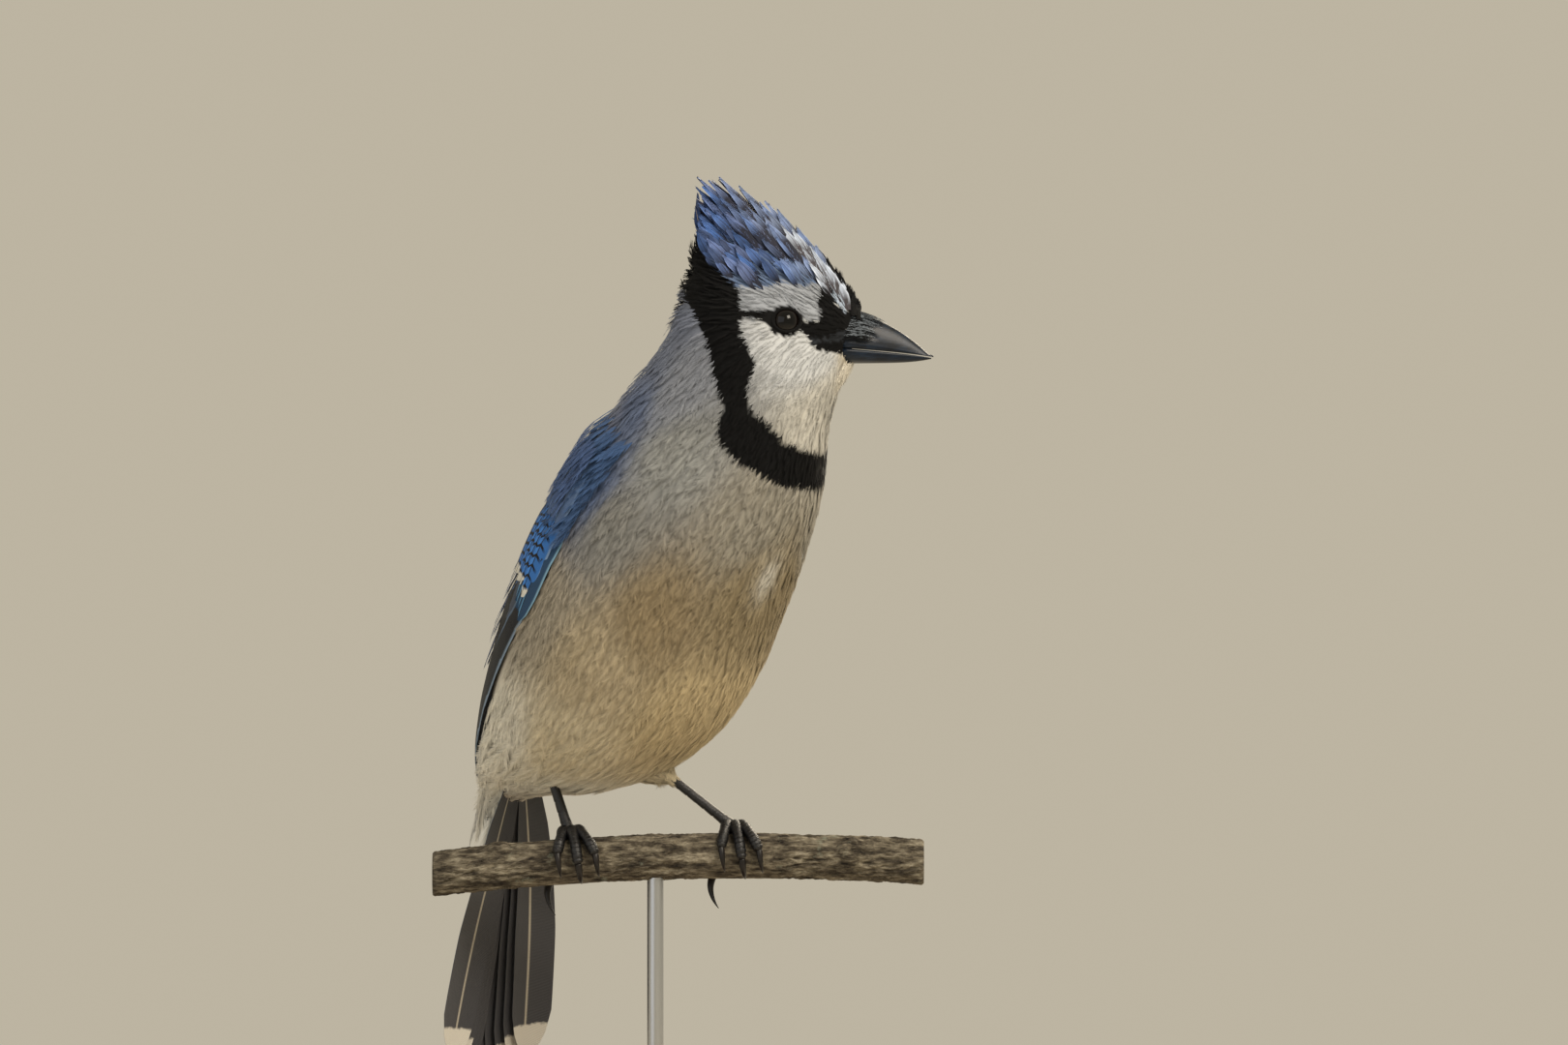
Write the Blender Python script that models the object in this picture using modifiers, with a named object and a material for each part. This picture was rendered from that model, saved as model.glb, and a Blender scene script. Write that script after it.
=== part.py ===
"""A life-size blue jay gripping a short perch, on a plain turned display stand.

The bird looks towards +X while its body turns towards -Y, and the perch runs along X.
The origin is the centre of the stand's underside, and +Z is up.
Sizes are written in millimetres and turned to metres by MM where meshes are made.
"""

import math
import random
from dataclasses import dataclass

import bmesh
import bpy
from mathutils import Matrix, Vector

MM = 0.001
GAP = 0.3

# The perch and the stand
PERCH_RADIUS = 7.0
PERCH_LEFT = -72.0
PERCH_RIGHT = 78.0
PERCH_CROWN_X = 22.0
PERCH_CROWN_Z = 95.6
PERCH_SAG = 0.00062
PERCH_SIDES = 13
PERCH_RINGS = 15
BASE_RADIUS = 60.0
BASE_HEIGHT = 16.0
BASE_EDGE = 4.0
BASE_STEP = 2.0
BASE_SIDES = 26
ROD_X = -4.0
ROD_RADIUS = 2.5
ROD_FOOT = 7.0
ROD_HEAD_IN_PERCH = 3.2
COLLAR_RADIUS = 6.0
COLLAR_HEIGHT = 5.0

# The trunk, from the tail's root up to the crown
TRUNK_SIDES = 26
RING_STEP = 0.6
TORSO_START = 0.0
NECK_START = 8.25
HEAD_START = 9.8
BACK_FLATNESS = 0.92

# The head's own forms
HEAD_SIDES = 21
HEAD_RING_STEP = 0.5
HEAD_MID_Y = -30.5
FACE_TAPER = 0.25
EYE_RADIUS = 4.6
EYE_X = 35.6
EYE_Z = 258.2
EYE_OFFSET = 12.7
EYE_FORWARD_TURN = 10.0
LID_RING = 4.6
LID_THICKNESS = 0.9
LID_PLANE = 2.9
LID_AROUND = 16
LID_SIDES = 5
BILL_BASE_X = 54.5
BILL_TIP_X = 80.6
BILL_SIDES = 8
BILL_RINGS = 8
BILL_BASE_WIDTH = 5.2
NOSTRIL_X = 63.8
NOSTRIL_Z = 253.4

# The tail
TAIL_ROOT = Vector((-47.0, 30.0, 131.0))
TAIL_LEAN_BACK = 11.0
TAIL_LENGTH = 108.0
TAIL_PAIRS = 6
TAIL_FEATHER_WIDTH = 17.0
TAIL_LEVEL = 0.9
TAIL_FAN = 9.0
TAIL_ROLL = 5.0
TAIL_ROOT_WIDTH = 6.8
TAIL_ROOT_SIDES = 16
TAIL_ROOT_THICK = 4.6
TAIL_ROOT_DROP = 1.8
TAIL_SUNK = 4.5
TAIL_SPREAD = 24.0

# The body's heading, turned from +X towards the camera's side at -Y
BODY_YAW = 40.0

# The legs
RIGHT_FOOT_X = -30.4
LEFT_FOOT_X = 19.5
RIGHT_ANKLE = Vector((-41.5, 8.0, 137.0))
LEFT_ANKLE = Vector((-9.5, 4.0, 127.5))
LEGS = (("right", RIGHT_FOOT_X, RIGHT_ANKLE), ("left", LEFT_FOOT_X, LEFT_ANKLE))
TARSUS_RADIUS = 1.45
TOE_RADIUS = 1.75


@dataclass(frozen=True)
class Section:
    """One cross-section of the trunk or of the surface that the folded wings lie on."""

    x: float
    y: float
    z: float
    pitch: float
    yaw: float
    half_width: float
    half_depth: float
    taper: float = 0.0


TRUNK = (
    Section(-54.0, 36.0, 113.5, 62, 40, 4.5, 3.5),
    Section(-46.5, 29.5, 121.0, 58, 40, 13.5, 12.5),
    Section(-36.0, 20.5, 128.4, 56, 40, 22.5, 23.2),
    Section(-26.2, 12.8, 138.8, 55, 40, 31.2, 32.0),
    Section(-16.0, 4.6, 153.8, 55, 40, 37.0, 38.0),
    Section(-7.4, -2.9, 170.4, 55, 40, 39.0, 40.2),
    Section(0.9, -9.8, 188.4, 55, 40, 37.8, 39.7),
    Section(9.6, -17.6, 206.8, 56, 38, 34.4, 38.2),
    Section(17.6, -25.0, 224.0, 58, 32, 28.6, 35.0),
    Section(23.2, -29.4, 240.4, 63, 18, 22.4, 29.4, 0.03),
    Section(26.4, HEAD_MID_Y, 249.2, 69, 5, 19.6, 28.2, 0.12),
    Section(28.9, HEAD_MID_Y, 255.8, 74, 0, 17.8, 28.1, FACE_TAPER),
    Section(30.4, HEAD_MID_Y, 262.8, 79, 0, 16.4, 27.8, FACE_TAPER),
    Section(29.9, HEAD_MID_Y, 269.4, 81, 0, 13.9, 25.0, FACE_TAPER),
    Section(26.8, HEAD_MID_Y, 275.8, 83, 0, 10.4, 20.4, 0.15),
    Section(22.3, HEAD_MID_Y, 282.0, 85, 0, 6.4, 14.6, 0.1),
    Section(18.6, HEAD_MID_Y, 286.2, 86, 0, 2.6, 8.6, 0.0),
)

# The folded wings lie on the trunk down to the rump and then run on past it.
WING_BED = (
    Section(-50.0, 40.5, 94.0, 74, 40, 9.0, 7.5),
    Section(-48.5, 37.0, 107.0, 68, 40, 11.5, 9.5),
    Section(-44.8, 30.5, 119.0, 61, 40, 16.5, 14.6),
    Section(-36.2, 21.0, 128.8, 56, 40, 23.4, 23.8),
) + TRUNK[3:9]
WING_BED_SHIFT = 1


def heading(yaw):
    """Level unit vector of a heading turned from +X towards -Y."""
    a = math.radians(yaw)
    return Vector((math.cos(a), -math.sin(a), 0.0))


def blend_sections(rows, t):
    """Smooth section at place t along the rows, by a Catmull-Rom curve through them."""
    last = len(rows) - 1
    t = min(max(t, 0.0), float(last))
    i = min(int(t), last - 1)
    u = t - i
    names = ("x", "y", "z", "pitch", "yaw", "half_width", "half_depth", "taper")
    four = [rows[min(max(i + k, 0), last)] for k in (-1, 0, 1, 2)]
    values = {}
    for name in names:
        a, b, c, d = (getattr(row, name) for row in four)
        if i == 0:
            a = 2 * b - c
        if i == last - 1:
            d = 2 * c - b
        values[name] = 0.5 * (
            2 * b + (c - a) * u + (2 * a - 5 * b + 4 * c - d) * u ** 2 + (3 * b - a - 3 * c + d) * u ** 3
        )
    return Section(**values)


def section_axes(section):
    """Unit vectors of a section: towards the belly, to the right side, and along the trunk."""
    ahead = heading(section.yaw)
    pitch = math.radians(section.pitch)
    up = Vector((0.0, 0.0, 1.0))
    along = ahead * math.cos(pitch) + up * math.sin(pitch)
    belly = ahead * math.sin(pitch) - up * math.cos(pitch)
    right = along.cross(belly)
    if right.dot(heading(section.yaw + 90.0)) < 0:
        right.negate()
    return belly, right, along


def section_point(section, angle, grow=0.0):
    """Point of a section's outline; 0 degrees is the belly, 90 the right side, 180 the back."""
    belly, right, _ = section_axes(section)
    c = math.cos(math.radians(angle))
    s = math.sin(math.radians(angle))
    depth = (section.half_depth + grow) * (BACK_FLATNESS if c < 0 else 1.0)
    side = (section.half_width + grow) * (1.0 - section.taper * c)
    centre = Vector((section.x, section.y, section.z))
    return centre + belly * depth * c + right * side * s


def trunk_point(t, angle, grow=0.0):
    """Point of the trunk's surface, raised from it by grow."""
    return section_point(blend_sections(TRUNK, t), angle, grow)


def bed_point(t, angle, grow=0.0):
    """Point of the surface that the folded wings lie on, raised by grow."""
    return section_point(blend_sections(WING_BED, t + WING_BED_SHIFT), angle, grow)


def mesh_object(name, bm, collection):
    """Turn a bmesh in millimetres into a mesh object in metres."""
    bmesh.ops.scale(bm, vec=(MM, MM, MM), verts=bm.verts)
    bmesh.ops.recalc_face_normals(bm, faces=bm.faces)
    mesh = bpy.data.meshes.new(name)
    bm.to_mesh(mesh)
    bm.free()
    obj = bpy.data.objects.new(name, mesh)
    collection.objects.link(obj)
    return obj


def loft(rings):
    """Closed bmesh through rings of equal length, with a fan cap at each end."""
    bm = bmesh.new()
    rows = [[bm.verts.new(p) for p in ring] for ring in rings]
    count = len(rows[0])
    for low, high in zip(rows, rows[1:]):
        for k in range(count):
            nxt = (k + 1) % count
            bm.faces.new((low[k], low[nxt], high[nxt]))
            bm.faces.new((low[k], high[nxt], high[k]))
    for row, flip in ((rows[0], True), (rows[-1], False)):
        middle = sum((v.co for v in row), Vector()) / count
        hub = bm.verts.new(middle)
        for k in range(count):
            nxt = (k + 1) % count
            bm.faces.new((hub, row[nxt], row[k]) if flip else (hub, row[k], row[nxt]))
    return bm


def plate(outer, inner):
    """Closed bmesh of a thin curved plate; both faces are split along the same diagonals."""
    bm = bmesh.new()
    top = [[bm.verts.new(p) for p in row] for row in outer]
    low = [[bm.verts.new(p) for p in row] for row in inner]
    rows = len(top)
    cols = len(top[0])
    for i in range(rows - 1):
        for j in range(cols - 1):
            a, b, c, d = (i, j), (i, j + 1), (i + 1, j + 1), (i + 1, j)
            left_half = j < (cols - 1) / 2
            halves = ((a, b, c), (a, c, d)) if left_half else ((a, b, d), (b, c, d))
            for tri in halves:
                bm.faces.new([top[p][q] for p, q in tri])
                bm.faces.new([low[p][q] for p, q in reversed(tri)])
    rim = [(i, 0) for i in range(rows)] + [(rows - 1, j) for j in range(1, cols)]
    rim += [(i, cols - 1) for i in range(rows - 2, -1, -1)] + [(0, j) for j in range(cols - 2, 0, -1)]
    for k, (i, j) in enumerate(rim):
        p, q = rim[(k + 1) % len(rim)]
        bm.faces.new((top[i][j], top[p][q], low[p][q]))
        bm.faces.new((top[i][j], low[p][q], low[i][j]))
    return bm


@dataclass(frozen=True)
class Vane:
    """Width along a feather's length, as shares of its full width, with its thickness."""

    widths: tuple
    thickness: float
    crown: float
    columns: int = 3


FLIGHT_VANE = Vane((0.6, 1.0, 0.95, 0.4), 0.6, 0.0, 2)
TAIL_VANE = Vane((0.25, 0.72, 1.0, 1.0, 0.88, 0.4), 0.6, 0.0, 2)
COVERT_VANE = Vane((0.8, 1.0, 0.4), 0.6, 0.0, 2)
CREST_VANE = Vane((0.8, 1.0, 0.85, 0.2), 0.7, 0.0, 2)
NAPE_VANE = Vane((0.8, 1.0, 0.35), 0.8, 0.0, 2)
BRISTLE_VANE = Vane((1.0, 0.8, 0.25), 0.6, 0.3)


def vane_bmesh(shape, path, normals, width):
    """Feather vane along a path of points, with a crowned face along the given normals."""
    count = len(path)
    outer = []
    inner = []
    for i, (point, normal) in enumerate(zip(path, normals)):
        before = path[max(i - 1, 0)]
        after = path[min(i + 1, count - 1)]
        along = (after - before).normalized()
        side = along.cross(normal).normalized()
        face = side.cross(along).normalized()
        place = i / (count - 1) * (len(shape.widths) - 1)
        k = min(int(place), len(shape.widths) - 2)
        share = shape.widths[k] + (shape.widths[k + 1] - shape.widths[k]) * (place - k)
        row = []
        for j in range(shape.columns):
            u = 2.0 * j / (shape.columns - 1) - 1.0
            lift = shape.crown * share * (1.0 - u * u)
            row.append((point + side * (u * share * width / 2.0), lift))
        outer.append([p + face * (lift + shape.thickness / 2.0) for p, lift in row])
        inner.append([p + face * (lift - shape.thickness / 2.0) for p, lift in row])
    return plate(outer, inner)


def keep_largest(obj):
    """Drop every closed surface of a mesh but the one that encloses the most."""
    bm = bmesh.new()
    bm.from_mesh(obj.data)
    todo = set(bm.faces)
    shells = []
    while todo:
        seed = todo.pop()
        shell = {seed}
        front = [seed]
        while front:
            face = front.pop()
            for edge in face.edges:
                for other in edge.link_faces:
                    if other in todo:
                        todo.remove(other)
                        shell.add(other)
                        front.append(other)
        shells.append(shell)
    if len(shells) > 1:
        def enclosed(shell):
            total = 0.0
            for face in shell:
                corners = [v.co for v in face.verts]
                for b, c in zip(corners[1:], corners[2:]):
                    total += corners[0].dot(b.cross(c)) / 6.0
            return total
        shells.sort(key=enclosed)
        drop = [face for shell in shells[:-1] for face in shell]
        bmesh.ops.delete(bm, geom=drop, context="FACES")
        bm.to_mesh(obj.data)
    bm.free()


def apply_modifiers(obj):
    """Replace an object's mesh by its evaluated one."""
    graph = bpy.context.evaluated_depsgraph_get()
    mesh = bpy.data.meshes.new_from_object(obj.evaluated_get(graph))
    old = obj.data
    obj.modifiers.clear()
    obj.data = mesh
    bpy.data.meshes.remove(old)


FLAT_ANGLE = 0.5


def merge_flat_faces(obj):
    """Merge neighbouring faces that lie in one plane and split them into triangles again."""
    bm = bmesh.new()
    bm.from_mesh(obj.data)
    bmesh.ops.dissolve_limit(bm, angle_limit=math.radians(FLAT_ANGLE), verts=bm.verts, edges=bm.edges)
    bmesh.ops.triangulate(bm, faces=bm.faces)
    bm.to_mesh(obj.data)
    bm.free()


def join_pieces(obj, pieces, solver="EXACT"):
    """Fuse closed pieces into an object by one Boolean union on a collection."""
    group = bpy.data.collections.new(obj.name + "_pieces")
    bpy.context.scene.collection.children.link(group)
    for piece in pieces:
        for owner in list(piece.users_collection):
            owner.objects.unlink(piece)
        group.objects.link(piece)
    union = obj.modifiers.new("join", "BOOLEAN")
    union.operation = "UNION"
    union.operand_type = "COLLECTION"
    union.collection = group
    union.solver = solver
    apply_modifiers(obj)
    for piece in list(group.objects):
        bpy.data.objects.remove(piece)
    bpy.data.collections.remove(group)
    keep_largest(obj)
    merge_flat_faces(obj)


def cut(obj, cutters, solver="EXACT"):
    """Cut closed tools out of an object, one after the other."""
    for k, tool in enumerate(cutters):
        modifier = obj.modifiers.new(f"cut_{k}", "BOOLEAN")
        modifier.operation = "DIFFERENCE"
        modifier.object = tool
        modifier.solver = solver
    apply_modifiers(obj)
    keep_largest(obj)


def tube(name, path, radii, collection, resolution=2):
    """Round tapering tube along a path, made as a bevelled curve and turned to a closed mesh."""
    curve = bpy.data.curves.new(name, "CURVE")
    curve.dimensions = "3D"
    curve.bevel_depth = MM
    curve.bevel_resolution = resolution
    curve.use_fill_caps = True
    spline = curve.splines.new("POLY")
    spline.points.add(len(path) - 1)
    for point, place, radius in zip(spline.points, path, radii):
        point.co = (*(Vector(place) * MM), 1.0)
        point.radius = radius
    wire = bpy.data.objects.new(name + "_curve", curve)
    bpy.context.scene.collection.objects.link(wire)
    graph = bpy.context.evaluated_depsgraph_get()
    mesh = bpy.data.meshes.new_from_object(wire.evaluated_get(graph))
    bpy.data.objects.remove(wire)
    bm = bmesh.new()
    bm.from_mesh(mesh)
    bmesh.ops.remove_doubles(bm, verts=bm.verts, dist=0.01 * MM)
    bmesh.ops.recalc_face_normals(bm, faces=bm.faces)
    bm.to_mesh(mesh)
    bm.free()
    obj = bpy.data.objects.new(name, mesh)
    collection.objects.link(obj)
    return obj


def ball(name, centre, radius, collection, turn=None, stretch=(1, 1, 1), segments=14, rings=9):
    """Sphere or ellipsoid with its poles along its own Z axis."""
    bm = bmesh.new()
    bmesh.ops.create_uvsphere(bm, u_segments=segments, v_segments=rings, radius=radius)
    bmesh.ops.scale(bm, vec=stretch, verts=bm.verts)
    if turn is not None:
        bmesh.ops.transform(bm, matrix=turn.to_4x4(), verts=bm.verts)
    bmesh.ops.translate(bm, vec=centre, verts=bm.verts)
    return mesh_object(name, bm, collection)


def rod(name, x, radius, low, high, collection, sides=20):
    """Upright round rod."""
    bm = bmesh.new()
    tall = high - low
    bmesh.ops.create_cone(bm, cap_ends=True, segments=sides, radius1=radius, radius2=radius, depth=tall)
    bmesh.ops.translate(bm, vec=(x, 0.0, (low + high) / 2.0), verts=bm.verts)
    return mesh_object(name, bm, collection)


def finish(obj, colour, roughness, metallic=0.0, sharp=40.0):
    """Smooth shading and a Principled material of the given colour."""
    material = bpy.data.materials.get(colour[0])
    if material is None:
        material = bpy.data.materials.new(colour[0])
        material.use_nodes = True
        shader = material.node_tree.nodes["Principled BSDF"]
        shader.inputs["Base Color"].default_value = (*colour[1], 1.0)
        shader.inputs["Roughness"].default_value = roughness
        shader.inputs["Metallic"].default_value = metallic
    obj.data.materials.clear()
    obj.data.materials.append(material)
    obj.data.shade_smooth()
    obj.data.set_sharp_from_angle(angle=math.radians(sharp))


BLUE = ("blue_feather", (0.09, 0.14, 0.26))
GREY = ("grey_feather", (0.30, 0.27, 0.22))
HORN = ("dark_horn", (0.03, 0.035, 0.04))
EYE_GLASS = ("dark_eye", (0.015, 0.01, 0.008))
BARK = ("bark", (0.20, 0.16, 0.11))
WALNUT = ("walnut", (0.16, 0.08, 0.04))
STEEL = ("brushed_steel", (0.55, 0.55, 0.55))


def frange(start, stop, step):
    """Evenly spaced values from start to stop, both included."""
    count = max(1, round(abs(stop - start) / step))
    return [start + (stop - start) * k / count for k in range(count + 1)]


def trunk_rings(start, stop, step, sides, grow=0.0):
    """Rings of the trunk's surface between two places along it."""
    return [
        [trunk_point(t, 360.0 * k / sides, grow) for k in range(sides)]
        for t in frange(start, stop, step)
    ]


def lifted_ring(t, sides, lift):
    """Ring at place t moved along the trunk by lift, so two parts face each other evenly."""
    _, _, along = section_axes(blend_sections(TRUNK, t))
    return [trunk_point(t, 360.0 * k / sides) + along * lift for k in range(sides)]


THIGH_RADIUS = 7.5
THIGH_LENGTH = 11.0
THIGH_SHOWS = 0.2


def build_torso(collection):
    """Torso from the tail's root to the neck, with the lobe of feathers over each thigh."""
    rings = trunk_rings(TORSO_START, NECK_START, RING_STEP, TRUNK_SIDES)
    torso = mesh_object("torso", loft(rings), collection)
    lobes = []
    for side, foot_x, ankle in LEGS:
        foot = tarsus_path(foot_x, ankle)[0][0]
        aim = (foot - ankle).normalized()
        turn = aim.to_track_quat("Z", "X").to_matrix()
        stretch = (1.0, 1.0, THIGH_LENGTH / THIGH_RADIUS)
        centre = ankle.lerp(foot, THIGH_SHOWS) - aim * THIGH_LENGTH * 0.55
        lobes.append(ball(f"thigh_{side}", centre, THIGH_RADIUS, collection, turn, stretch, 12, 8))
    join_pieces(torso, lobes)
    return torso


def build_neck(collection):
    """Neck between the torso and the head, with a narrow gap to each."""
    rings = [lifted_ring(NECK_START, TRUNK_SIDES, GAP)]
    rings += trunk_rings(NECK_START + RING_STEP, HEAD_START - RING_STEP, RING_STEP, TRUNK_SIDES)
    rings += [lifted_ring(HEAD_START, TRUNK_SIDES, 0.0)]
    return mesh_object("neck", loft(rings), collection)


# Upper outline of the crest in x and z, from the forehead to its tip
CREST_OUTLINE = ((56.2, 265.4), (50.0, 274.8), (39.6, 286.0), (28.8, 294.7), (16.6, 301.0), (8.8, 302.0))
CREST_ROOT_X = 52.5
CREST_BOW = 0.8
CREST_STATIONS = (0.0, 0.4, 0.78, 1.0)


def outline_place(v):
    """Point along the crest's upper outline; 0 is at the forehead and 1 at the tip."""
    place = min(max(v, 0.0), 1.0) * (len(CREST_OUTLINE) - 1)
    k = min(int(place), len(CREST_OUTLINE) - 2)
    (x0, z0), (x1, z1) = CREST_OUTLINE[k], CREST_OUTLINE[k + 1]
    return x0 + (x1 - x0) * (place - k), z0 + (z1 - z0) * (place - k)


@dataclass(frozen=True)
class CrestTier:
    """One lengthwise row of crest feathers; the side tiers are mirrored."""

    count: int
    first: float
    last: float
    reach: float
    root_y: float
    tip_y: float
    sink: float
    face: float
    width: float


CREST_TIERS = (
    CrestTier(5, 0.25, 0.95, 1.0, 0.0, 0.0, 0.0, 8.0, 8.5),
    CrestTier(6, 0.33, 1.0, 0.98, 5.2, 1.9, 1.4, 66.0, 10.5),
    CrestTier(3, 0.42, 0.93, 0.72, 9.6, 5.2, 4.8, 76.0, 14.0),
)


def crest_vanes(collection):
    """Crest feathers rooted along the crown, swept up and back to the crest's outline."""
    draw = random.Random(11)
    pieces = []
    for tier_number, tier in enumerate(CREST_TIERS):
        sides = (1.0,) if tier.root_y == 0.0 else (-1.0, 1.0)
        for row in range(tier.count):
            u = row / (tier.count - 1)
            tip_x, tip_z = outline_place(tier.first + (tier.last - tier.first) * u)
            root_x = CREST_ROOT_X - 28.5 * u
            root_z = 263.0 + 9.0 * math.sin(math.pi * min(1.0, 0.12 + 0.6 * u)) - tier.sink
            for side in sides:
                stretch = tier.reach * (1.0 + draw.uniform(-0.05, 0.03))
                root = Vector((root_x, HEAD_MID_Y + side * tier.root_y * (0.6 + 0.4 * u), root_z))
                reach = Vector((tip_x - root_x, side * (tier.tip_y - tier.root_y), tip_z - root_z))
                tip = root + Vector((reach.x * stretch, reach.y, reach.z * stretch))
                aim = (tip - root).normalized()
                ahead = Vector((aim.z, 0.0, -aim.x)).normalized()
                turn = math.radians(tier.face)
                out = ahead * math.cos(turn) + Vector((0.0, side * math.sin(turn), 0.0))
                path = [
                    root.lerp(tip, s) + out * (CREST_BOW * math.sin(math.pi * s)) for s in CREST_STATIONS
                ]
                name = f"crest_{tier_number}_{row}_{side:+.0f}"
                bm = vane_bmesh(CREST_VANE, path, [out] * len(path), tier.width)
                pieces.append(mesh_object(name, bm, collection))
    return pieces


NAPE_ROWS = 4
NAPE_START = 11.0
NAPE_STEP = 1.05
NAPE_WIDTH = 8.0


def nape_vanes(collection):
    """Short black feathers that stand off the back of the head in a ragged edge."""
    draw = random.Random(23)
    pieces = []
    for row in range(NAPE_ROWS):
        for side in (-1.0, 0.0, 1.0):
            t = NAPE_START + NAPE_STEP * row
            root = trunk_point(t, 180.0 + side * 30.0 + draw.uniform(-6.0, 6.0), -3.5)
            belly, right, along = section_axes(blend_sections(TRUNK, t))
            out = (-belly + right * -0.55 * side).normalized()
            aim = (along + out * 0.36).normalized()
            reach = 13.0 + draw.uniform(-1.5, 1.5)
            path = [root, root + aim * (reach * 0.55) + out * 0.7, root + aim * reach]
            name = f"nape_{row}_{side:+.0f}"
            bm = vane_bmesh(NAPE_VANE, path, [out] * 3, NAPE_WIDTH)
            pieces.append(mesh_object(name, bm, collection))
    return pieces


BRISTLE_WIDTH = 4.6


def bristle_vanes(collection):
    """Nasal bristles that lie forward over the root of the upper bill."""
    pieces = []
    for side in (-1.0, 1.0):
        for row in range(2):
            root = Vector((53.5 - 0.9 * row, HEAD_MID_Y + side * (2.2 + 2.9 * row), 262.0 - 4.2 * row))
            tip = Vector((64.4 - 1.2 * row, HEAD_MID_Y + side * (1.8 + 2.7 * row), 259.4 - 3.2 * row))
            out = Vector((0.25, side * (0.3 + 0.6 * row), 1.0 - 0.5 * row)).normalized()
            path = [root.lerp(tip, k / 2.0) + out * (0.7 * math.sin(math.pi * k / 2.0)) for k in range(3)]
            name = f"bristle_{side:+.0f}_{row}"
            bm = vane_bmesh(BRISTLE_VANE, path, [out] * 3, BRISTLE_WIDTH)
            pieces.append(mesh_object(name, bm, collection))
    return pieces


def eye_frame(side):
    """Centre of an eye and the rotation that points its Z axis out of the head."""
    turn = math.radians(EYE_FORWARD_TURN)
    out = Vector((math.sin(turn), side * math.cos(turn), 0.12)).normalized()
    centre = Vector((EYE_X, HEAD_MID_Y + side * EYE_OFFSET, EYE_Z))
    return centre, out, out.to_track_quat("Z", "X").to_matrix()


def lid_ring(side, collection):
    """Rim of the two lids round an eye."""
    centre, out, turn = eye_frame(side)
    rings = []
    for k in range(LID_AROUND):
        a = 2 * math.pi * k / LID_AROUND
        spoke = Vector((math.cos(a), math.sin(a), 0.0))
        middle = spoke * LID_RING
        ring = []
        for m in range(LID_SIDES):
            b = 2 * math.pi * m / LID_SIDES
            offset = spoke * math.cos(b) * LID_THICKNESS + Vector((0.0, 0.0, math.sin(b) * LID_THICKNESS))
            ring.append(centre + out * LID_PLANE + turn @ (middle + offset))
        rings.append(ring)
    bm = bmesh.new()
    rows = [[bm.verts.new(p) for p in ring] for ring in rings]
    for k in range(LID_AROUND):
        ahead = rows[(k + 1) % LID_AROUND]
        for m in range(LID_SIDES):
            n = (m + 1) % LID_SIDES
            bm.faces.new((rows[k][m], rows[k][n], ahead[n], ahead[m]))
    return mesh_object(f"lid_{side:+.0f}", bm, collection)


def bill_lines(s):
    """Heights of the culmen, mouth line and underside, and half width, at share s of the bill."""
    x = BILL_BASE_X + (BILL_TIP_X - BILL_BASE_X) * s
    culmen = 261.3 - 3.4 * s - 10.9 * s ** 2.1
    mouth = 250.2 - 2.2 * s - 0.6 * s ** 4
    under = 245.6 + 0.2 * s + 1.2 * s ** 5
    width = BILL_BASE_WIDTH * (1.0 - s) ** 0.75 * (1.0 - 0.25 * s) + 0.45
    return x, culmen, mouth, under, width


def bill_half(name, upper, grow, collection):
    """Upper or lower half of the bill, flat along the mouth line and rounded outside."""
    rings = []
    for k in range(BILL_RINGS + 1):
        s = (k / BILL_RINGS) ** 0.85
        x, culmen, mouth, under, width = bill_lines(s)
        if not upper:
            x = BILL_BASE_X + (x - BILL_BASE_X) * 0.975
        edge = mouth + (GAP / 2.0 if upper else -GAP / 2.0)
        far = culmen if upper else min(under, edge - 0.35)
        if upper:
            far = max(far, edge + 0.6)
        ring = []
        for m in range(BILL_SIDES + 1):
            a = math.pi * m / BILL_SIDES
            rise = math.sin(a) ** (0.85 if upper else 0.7)
            reach = (far - edge) + (grow if upper else -grow)
            y = HEAD_MID_Y + (width + grow) * math.cos(a) * (1.0 - (0.25 if upper else 0.0) * rise ** 2)
            ring.append(Vector((x, y, edge + reach * rise)))
        floor = edge + (-grow if upper else grow)
        for side in (-1.0, 1.0):
            ring.append(Vector((x, HEAD_MID_Y + side * (width + grow) * 0.6, floor)))
        if grow > 0:
            ring = [p + Vector((-grow if k == 0 else 0.0, 0.0, 0.0)) for p in ring]
        rings.append(ring)
    return mesh_object(name, loft(rings), collection)


MOUTH_Z = 249.9
MOUTH_DEPTH = 1.2
MOUTH_HEIGHT = 0.5
MOUTH_ANGLES = (14.0, 28.0, 42.0, 56.0)


def place_at_height(angle, z):
    """Place along the head where the surface at an angle has a height."""
    low = HEAD_START
    high = HEAD_START + 3.0
    for _ in range(24):
        middle = (low + high) / 2.0
        if trunk_point(middle, angle).z < z:
            low = middle
        else:
            high = middle
    return low


def mouth_groove(side, collection):
    """Narrow groove that carries the mouth line from the bill back to the corner of the mouth."""
    rings = []
    for angle in MOUTH_ANGLES:
        turned = angle if side < 0 else -angle
        t = place_at_height(turned, MOUTH_Z)
        outer = trunk_point(t, turned, 2.0)
        inner = trunk_point(t, turned, -MOUTH_DEPTH)
        rise = Vector((0.0, 0.0, MOUTH_HEIGHT / 2.0))
        rings.append([outer - rise, inner - rise, inner + rise, outer + rise])
    return mesh_object(f"mouth_{side:+.0f}", loft(rings), collection)


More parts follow.
